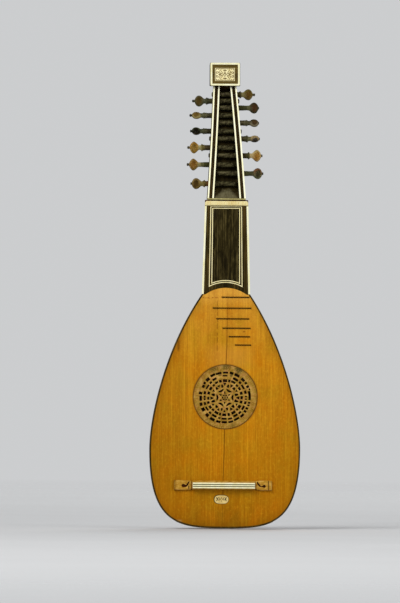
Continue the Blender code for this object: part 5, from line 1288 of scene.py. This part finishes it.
FINIAL_LEAN = math.radians(12.0)
FINIAL_HALF = 17.0
FINIAL_RISE = 13.5


def finial_frame():
    """Where the middle of the finial's face lies: taken from the border's box in the CAD."""
    low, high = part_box("finial_border")
    middle = (low + high) / 2.0
    return Matrix.Translation(middle) @ Matrix.Rotation(math.pi / 2.0 - FINIAL_LEAN, 4, "X")


def rounded_rectangle(half_width, half_height, radius, steps=4):
    points = []
    for side, end, start in ((1, 1, 0.0), (-1, 1, 90.0), (-1, -1, 180.0), (1, -1, 270.0)):
        for index in range(steps + 1):
            angle = math.radians(start + 90.0 * index / steps)
            across = side * (half_width - radius) + radius * math.cos(angle)
            up = end * (half_height - radius) + radius * math.sin(angle)
            points.append((across, up))
    return points


def make_finial():
    """The moulded ivory border, and the plaque engraved with a generic pattern of scrolls."""
    face = finial_frame()
    shell = bmesh.new()
    rings = []
    for inset, out in ((0.0, -0.6), (0.0, 0.35), (0.25, 0.6), (0.9, 0.66), (1.25, 0.45), (1.8, 0.3), (2.3, -0.1), (2.4, -0.6)):
        points = rounded_rectangle(FINIAL_HALF - inset, FINIAL_RISE - inset, max(1.2 - inset * 0.4, 0.2))
        rings.append([face @ (Vector((across, up, out)) * MM) for across, up in points])
    loops = loft(shell, rings, False, False)
    for index in range(len(loops[0])):
        after = (index + 1) % len(loops[0])
        shell.faces.new((loops[0][index], loops[0][after], loops[-1][after], loops[-1][index]))
    border = mesh_piece("finial_moulding", shell, IVORY, "ivory", BODY, 30.0)
    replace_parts(border, "finial_border")

    half_width, half_height = 11.45, 7.65
    lowered = face @ Matrix.Translation((-0.35 * MM, -0.35 * MM, 0.0))
    shell = bmesh.new()
    rings = []
    for share, out in ((-0.1, -0.5), (-0.1, -0.1), (0.12, 0.2), (0.4, 0.1), (0.6, -0.08), (0.85, 0.1), (1.03, 0.02), (1.03, -0.5)):
        across_half = 14.85 + share * (half_width - 14.85)
        up_half = 11.35 + share * (half_height - 11.35)
        points = rounded_rectangle(across_half, up_half, 0.3)
        rings.append([face @ (Vector((across - 0.35 * share, up - 0.35 * share, out)) * MM) for across, up in points])
    loops = loft(shell, rings, False, False)
    for index in range(len(loops[0])):
        after = (index + 1) % len(loops[0])
        shell.faces.new((loops[0][index], loops[0][after], loops[-1][after], loops[-1][index]))
    mesh_piece("finial_slip", shell, SLIP_WOOD, "ebony", BODY, 30.0)

    shell = bmesh.new()
    rings = []
    for inset, out in ((0.0, -0.6), (0.0, 0.05), (0.25, 0.22)):
        points = rounded_rectangle(half_width - inset, half_height - inset, 0.3)
        rings.append([lowered @ (Vector((across, up, out)) * MM) for across, up in points])
    loft(shell, rings)
    plaque = mesh_piece("finial_plate", shell, OLD_IVORY, "ivory", BODY, 30.0)
    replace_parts(plaque, "finial_plaque")
    engrave("finial_scrolls", lowered, 0.23, scroll_lines(half_width - 0.9, half_height - 0.7), 0.32, INK)


def spiral(centre, radius, start, turns, hand, steps=26):
    """A line that winds in on itself."""
    points = []
    for index in range(steps + 1):
        share = index / steps
        angle = math.radians(start) + hand * 2.0 * math.pi * turns * share
        reach = radius * (1.0 - 0.82 * share)
        points.append((centre[0] + reach * math.cos(angle), centre[1] + reach * math.sin(angle)))
    return points


def scroll_lines(half_width, half_height):
    """Mirrored leaf scrolls about a lozenge, inside a plain line."""
    lines = [rounded_rectangle(half_width, half_height, 0.5) + [(half_width, half_height - 0.5)]]
    lozenge = [(0.0, 3.4), (1.9, 0.0), (0.0, -3.4), (-1.9, 0.0), (0.0, 3.4)]
    lines.append(lozenge)
    lines.append([(across * 0.5, up * 0.5) for across, up in lozenge])
    for end in (-1.0, 1.0):
        for lean in (-50.0, -25.0, 0.0, 25.0, 50.0):
            angle = math.radians(lean)
            lines.append([(reach * math.sin(angle), end * (3.3 + reach * math.cos(angle))) for reach in (0.9, 2.9)])
    for side in (-1.0, 1.0):
        for end in (-1.0, 1.0):
            big = spiral((side * 5.0, end * 3.1), 2.5, 180.0 if side > 0 else 0.0, 1.35, side * end)
            small = spiral((side * 8.9, end * 1.9), 1.7, 200.0 if side > 0 else -20.0, 1.2, -side * end)
            leaf = [(side * 2.4, end * 0.6), (side * 3.6, end * 1.0), (side * 5.4, end * 0.3), (side * 7.4, end * 0.4)]
            lines += [big, small, leaf]
            for step in range(4):
                across = side * (3.2 + 2.0 * step)
                lines.append([(across, end * 5.5), (across + side * 0.7, end * 6.3)])
    return lines


def engrave(name, face, out, lines, half, ink):
    """Ink-filled lines that stand a hair above a face."""
    shell = bmesh.new()
    for line in lines:
        count = len(line)
        rings = []
        for index in range(count):
            before = Vector(line[max(index - 1, 0)])
            after = Vector(line[min(index + 1, count - 1)])
            direction = (after - before).normalized()
            side = Vector((-direction.y, direction.x))
            ring = []
            for away, lift in ((-0.7, -0.15), (-1.0, 0.0), (0.0, 0.05), (1.0, 0.0), (0.7, -0.15)):
                place = Vector(line[index]) + side * (half * away)
                ring.append(face @ (Vector((place.x, place.y, out + lift)) * MM))
            rings.append(ring)
        loft(shell, rings)
    return mesh_piece(name, shell, ink, "ivory", BODY, 80.0)


# Bridge

BRIDGE_UP = 49.35
BRIDGE_ACROSS = -2.0
CREST_DROP = 0.15
COMMAS = {
    -1.0: (
        (47.8, -0.4, 0.4), (47.3, -0.45, 1.2), (46.5, -0.5, 1.75), (45.4, -0.6, 1.9), (44.3, -0.85, 1.7), (43.4, -1.0, 1.4),
        (42.5, -0.95, 1.15), (41.7, -0.3, 1.0), (40.9, 0.8, 0.95), (40.0, 2.4, 0.85), (39.2, 3.8, 0.65), (38.85, 4.45, 0.3),
    ),
    1.0: (
        (49.5, -0.75, 0.4), (49.1, -0.75, 1.1), (48.4, -0.8, 1.6), (47.6, -0.85, 1.7), (46.7, -0.95, 1.4), (46.0, -1.05, 0.9),
        (45.2, -1.1, 0.6), (44.0, -1.1, 0.55), (43.1, -0.8, 0.75), (42.3, -0.2, 0.95), (41.3, 0.9, 1.0), (40.3, 2.4, 0.9),
        (39.6, 3.6, 0.65), (39.3, 4.2, 0.3),
    ),
}


def bridge_place(across, behind, up):
    return at(BRIDGE_ACROSS + across, behind, BRIDGE_UP + up)


def stroke(line):
    """The outline of a line that swells and thins: places with half widths."""
    left, right = [], []
    for index, (across, up, half) in enumerate(line):
        before = Vector(line[max(index - 1, 0)][:2])
        after = Vector(line[min(index + 1, len(line) - 1)][:2])
        direction = (after - before).normalized()
        side = Vector((-direction.y, direction.x)) * half
        left.append((across + side.x, up + side.y))
        right.append((across - side.x, up - side.y))
    return left + right[::-1]


def string_holes(block):
    """Bore the block for each string, upwards, behind the ivory."""
    shell = bmesh.new()
    for course in range(6):
        for side in (-1.0, 1.0):
            across = (course - 2.5) * 11.2 + side * 1.3
            rings = []
            for up in (-8.0, 8.0):
                ring = []
                for index in range(12):
                    angle = 2.0 * math.pi * index / 12
                    ring.append(bridge_place(across + 0.6 * math.cos(angle), -5.2 + 0.6 * math.sin(angle), up))
                rings.append(ring)
            loft(shell, rings)
    bmesh.ops.recalc_face_normals(shell, faces=shell.faces)
    mesh = bpy.data.meshes.new("string_holes")
    shell.to_mesh(mesh)
    shell.free()
    cutter = bpy.data.objects.new("string_holes", mesh)
    bpy.context.scene.collection.objects.link(cutter)
    made = block.modifiers.new("holes", "BOOLEAN")
    made.operation = "DIFFERENCE"
    made.solver = "EXACT"
    made.object = cutter
    bpy.context.view_layer.update()
    ready = block.evaluated_get(bpy.context.evaluated_depsgraph_get())
    bored = bpy.data.meshes.new_from_object(ready)
    block.modifiers.clear()
    block.data = bored
    bpy.data.objects.remove(cutter, do_unlink=True)


def wing_outline(side, inner, inset=0.0, drop=0.0):
    """One wing of the bridge, its inner corners cut back, the lower one more on the treble side."""
    upper = ((inner, 5.0), (39.4, 5.35), (42.5, 5.65), (47.0, 5.8), (52.0, 5.8), (56.0, 5.7), (56.5, 5.3))
    lower = ((56.5, -5.3), (56.0, -5.6), (52.0, -5.65), (46.0, -5.65), (42.0, -5.5))
    lower += ((39.4, -4.85), (inner, -4.0)) if side > 0.0 else ((39.4, -5.3), (inner, -5.2))
    outline = [(BRIDGE_ACROSS + side * across, BRIDGE_UP + up - drop) for across, up in upper + lower]
    return shrunk(outline if side < 0.0 else outline[::-1], inset)


def make_bridge():
    notch = [(52.1, -5.0), (52.8, -5.0), (52.8, 5.2), (52.1, 5.2)]
    slot = [(39.0, -4.5), (39.9, -4.5), (39.9, -0.9), (39.0, -0.9)]
    for side, hand, inner in ((-1.0, "bass", 36.6), (1.0, "treble", 37.5)):
        openings = [stroke(COMMAS[side]), notch if side > 0.0 else slot]
        openings = [[(BRIDGE_ACROSS + side * across, BRIDGE_UP + up) for across, up in line] for line in openings]
        outlines = [wing_outline(side, inner)] + openings
        wing = outline_plate("bridge_wing_" + hand, outlines, -2.75, -0.3, PEARWOOD, "pearwood", 0.25)
        # painted shade: a dark bed under each wing, seen through the commas and slots and as a line below the wing
        outline_plate("bridge_shade_bed_" + hand, [wing_outline(side, 34.0, 0.0, 0.3)], -0.5, -0.05, SHADOW_WOOD, "pearwood")
        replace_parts(wing, "bridge")
        # a shallow floor in the slot between the block and each wing; its darker brown is painted shade
        step = [(BRIDGE_ACROSS + side * across, BRIDGE_UP + up) for across, up in ((35.0, 4.9), (inner + 0.4, 4.7), (inner + 0.4, -4.4), (35.0, -4.6))]
        outline_plate("bridge_step_" + hand, [step], -2.1, -0.1, STEP_WOOD, "pearwood", 0.1)
    shell = bmesh.new()
    rings = []
    for across in (-35.4, 36.9):
        profile = ((-0.4, -5.3), (-0.4, 5.3), (-3.4, 5.25), (-7.8, 3.3), (-7.8, -4.2), (-2.8, -5.0))
        rings.append([bridge_place(across, behind, up) for behind, up in profile])
    loft(shell, rings)
    block = mesh_piece("bridge_block", shell, PEARWOOD, "pearwood", BODY, 30.0)
    string_holes(block)
    bevelled(block, 0.2)
    for side, hand, inner, outer in ((-1.0, "bass", 54.4, 56.2), (1.0, "treble", 53.5, 55.7)):
        shell = bmesh.new()
        rings = []
        for up in (-5.7, -5.4, 5.4, 5.7):
            crest = 3.6 if abs(up) > 5.6 else 4.0
            profile = (
                (inner, -0.5), (inner, -crest + 0.5), (inner + 0.4, -crest),
                (outer - 0.4, -crest), (outer, -crest + 0.5), (outer, -0.5),
            )
            rings.append([bridge_place(side * across, behind, up) for across, behind in profile])
        loft(shell, rings)
        mesh_piece("bridge_end_bar_" + hand, shell, PEARWOOD, "pearwood", BODY, 30.0)

    shell = bmesh.new()
    rings = []
    for across, shrink in ((-35.1, 0.25), (-34.8, 0.0), (36.4, 0.0), (36.7, 0.25)):
        crest = -9.35 + shrink
        profile = [(-7.75, -3.3), (-7.75, 3.3), (crest + 0.3, 3.3), (crest, 3.0)]
        for middle in (1.13, -1.13):
            profile += [(crest, middle + 0.56), (crest + 0.5, middle + 0.46), (crest + 0.5, middle - 0.46), (crest, middle - 0.56)]
        profile += [(crest, -3.0), (crest + 0.3, -3.3)]
        rings.append([bridge_place(across, behind, up - CREST_DROP) for behind, up in profile])
    loft(shell, rings)
    top = mesh_piece("bridge_crest", shell, IVORY, "ivory", BODY, 30.0)
    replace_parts(top, "bridge_top")
    for middle, hand in ((1.13, "upper"), (-1.13, "lower")):
        shell = bmesh.new()
        rings = []
        for across in (-34.9, 36.5):
            profile = ((-8.7, middle - 0.48), (-8.7, middle + 0.48), (-8.95, middle + 0.5), (-8.95, middle - 0.5))
            rings.append([bridge_place(across, behind, up - CREST_DROP) for behind, up in profile])
        loft(shell, rings)
        mesh_piece("bridge_line_" + hand, shell, LINE_WOOD, "ebony", BODY, 30.0)


def stadium(steps=56, power=2.6):
    """An oval with flatter sides than an ellipse, of half sizes 1."""
    points = []
    for across, up in circle(1.0, (0.0, 0.0), steps):
        points.append((math.copysign(abs(across) ** (2.0 / power), across), math.copysign(abs(up) ** (2.0 / power), up)))
    return points


def make_oval_plaque():
    """The small domed plate in its dark bed, with a generic sprig in place of marks."""
    for name, half_across, half_up, middle, steps, material in (
        ("oval_bed", 8.55, 5.35, (-3.8, 33.2), ((1.0, -0.15), (1.0, -0.4), (0.985, -0.5), (0.9, -0.52)), LINE_WOOD),
        (
            "oval_plate", 8.0, 4.9, (-3.55, 33.0),
            ((1.0, -0.4), (1.0, -0.65), (0.96, -0.82), (0.88, -0.92), (0.6, -0.98), (0.25, -1.0)), PLATE_BONE,
        ),
    ):
        shell = bmesh.new()
        rings = []
        for share, behind in steps:
            outline = stadium()
            rings.append([
                at(middle[0] + half_across * share * across, behind, middle[1] + half_up * share * up)
                for across, up in outline
            ])
        loft(shell, rings)
        plate = mesh_piece(name, shell, material, "bone", BODY, 40.0)
    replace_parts(plate, "oval_plaque")
    face = Matrix.Translation(at(-3.55, 0.0, 33.0)) @ Matrix.Rotation(math.pi / 2.0, 4, "X")
    lines = []
    for side in (-1.0, 1.0):
        lines.append([(side * 0.9, 0.0), (side * 2.2, 0.8), (side * 3.9, 0.2), (side * 5.9, 0.9)])
        for start in (2.0, 4.3):
            for end in (-1.0, 1.0):
                root = (side * start, 0.5)
                lines.append([root, (root[0] + side * 0.5, root[1] + end * 1.2), (root[0] + side * 1.5, root[1] + end * 2.0)])
    lines.append([(0.0, 2.5), (1.1, 0.0), (0.0, -2.5), (-1.1, 0.0), (0.0, 2.5)])
    engrave("oval_sprig", face, 0.97, lines, 0.45, DARK_INK)


# Finishes of the CAD pieces that stay


def dress(material, *names):
    for name in names:
        slots = frame["nodes"][name].material_slots
        for entry in slots:
            entry.material = material


def dress_frame():
    dress(BOARD, "fingerboard")
    dress(STAINED, "pegbox_cheek_bass", "pegbox_cheek_treble", "finial_block")
    dress(IVORY, "fingerboard_edge_bass", "fingerboard_edge_treble")
    dress(CHEEK_IVORY, "cheek_inlay_outer_bass", "cheek_inlay_outer_treble")
    dress(CHEEK_IVORY, "cheek_inlay_inner_bass", "cheek_inlay_inner_treble")
    dress(FOOT_IVORY, "pegbox_foot_strip")
    dress(BARE, "neck_block", "tail_block", "brace_1", "brace_2", "brace_3")
    dress(IRON, "neck_nail")
    for number in range(7, 13):
        name = "body_fret_%02d" % number
        dress(FRET_OLIVE if number in (8, 10) else FRET, name)
        bevelled(frame["nodes"][name], 0.25)
    for name in ("pegbox_cheek_bass", "pegbox_cheek_treble", "fingerboard_edge_bass"):
        bevelled(frame["nodes"][name], 0.15, 1)
    bevelled(frame["nodes"]["fingerboard_edge_treble"], 0.15, 1)
    bevelled(frame["nodes"]["finial_block"], 0.3, 2)


make_ribs()
make_seams()
make_clasp()
make_soundboard()
make_edging()
make_rose()
make_fingerboard()
make_nut()
make_neck_and_back()
for peg_node, peg_look in PEGS.items():
    make_peg(peg_node, peg_look)
make_finial()
make_bridge()
make_oval_plaque()
dress_frame()


# Stage, lamps and camera


PALE = 0.62


def make_stage():
    """A round pale floor that fades out into a background of its own tone."""
    floor_up = cad_low[2]
    shell = bmesh.new()
    bmesh.ops.create_circle(shell, cap_ends=True, segments=96, radius=5.5)
    mesh = bpy.data.meshes.new("floor")
    shell.to_mesh(mesh)
    shell.free()
    floor = bpy.data.objects.new("floor", mesh)
    bpy.context.scene.collection.objects.link(floor)
    floor.location = (0.0, 0.0, floor_up)
    paper = Finish("paper", roughness=0.9, gloss=0.05)
    grain = paper.noise(paper.stretched(3.0, 3.0, 3.0), 1.0, 2.0, 0.5)
    split = paper.node("ShaderNodeVectorMath", operation="LENGTH")
    paper.feed(split.inputs[0], paper.place)
    paper.feed(paper.shader.inputs["Alpha"], paper.fade(split.outputs["Value"], 1.2, 5.2, 1.0, 0.0))
    mesh.materials.append(paper.finish(paper.ramp(grain, (0.3, (0.6, 0.605, 0.61, 1.0)), (0.7, (0.62, 0.625, 0.63, 1.0)))))


def make_lamp(name, place, target, size, power):
    """A soft square lamp that faces a target."""
    data = bpy.data.lights.new(name, "AREA")
    data.shape = "SQUARE"
    data.size = size
    data.energy = power
    lamp = bpy.data.objects.new(name, data)
    bpy.context.scene.collection.objects.link(lamp)
    lamp.location = place
    lamp.rotation_euler = (Vector(target) - Vector(place)).to_track_quat("-Z", "Y").to_euler()
    lamp.visible_camera = False


def make_light():
    """Three wide lamps, and a world that looks pale, lights evenly and mirrors dimly."""
    target = at(0.0, 0.0, 260.0)
    make_lamp("key", target + Vector((-2.6, -4.2, 3.4)), target, 2.6, 200.0)
    make_lamp("fill", target + Vector((4.0, -4.0, 1.0)), target, 3.0, 100.0)
    make_lamp("back", target + Vector((1.5, 4.0, 3.0)), target, 2.6, 80.0)
    world = bpy.data.worlds.new("studio")
    world.use_nodes = True
    nodes = world.node_tree.nodes
    links = world.node_tree.links
    path = nodes.new("ShaderNodeLightPath")
    level = None
    for ray, strength in (("Is Camera Ray", PALE), ("Is Glossy Ray", 0.14)):
        chosen = nodes.new("ShaderNodeMix")
        chosen.inputs["A"].default_value = 0.45
        chosen.inputs["B"].default_value = strength
        links.new(path.outputs[ray], chosen.inputs["Factor"])
        if level is not None:
            links.new(level, chosen.inputs["A"])
        level = chosen.outputs["Result"]
    sky = nodes["Background"]
    sky.inputs["Color"].default_value = (0.97, 0.985, 1.0, 1.0)
    links.new(level, sky.inputs["Strength"])
    bpy.context.scene.world = world


CAMERA_DISTANCE = 19.3
CAMERA_TURN = math.radians(-2.6)
CAMERA_ROLL = math.radians(0.42)
CAMERA_SCALE = 1.153


def make_camera():
    """Level with the neck's foot, a little to the bass side, and far off, so heights show true."""
    data = bpy.data.cameras.new("camera")
    data.sensor_width = 36.0
    data.lens = data.sensor_width * CAMERA_DISTANCE / (603 * CAMERA_SCALE * MM)
    data.clip_start = 0.1
    data.clip_end = 100.0
    camera = bpy.data.objects.new("camera", data)
    bpy.context.scene.collection.objects.link(camera)
    back = Vector((math.sin(CAMERA_TURN), -math.cos(CAMERA_TURN), 0.0))
    centre = at(-29.9 / math.cos(CAMERA_TURN), 0.0, 261.15)
    camera.location = centre + back * CAMERA_DISTANCE
    camera.rotation_mode = "QUATERNION"
    look = (-back).to_track_quat("-Z", "Y")
    camera.rotation_quaternion = look @ Matrix.Rotation(CAMERA_ROLL, 4, "Z").to_quaternion()
    bpy.context.scene.camera = camera


make_stage()
make_light()
make_camera()
bpy.context.scene.view_settings.view_transform = "Standard"
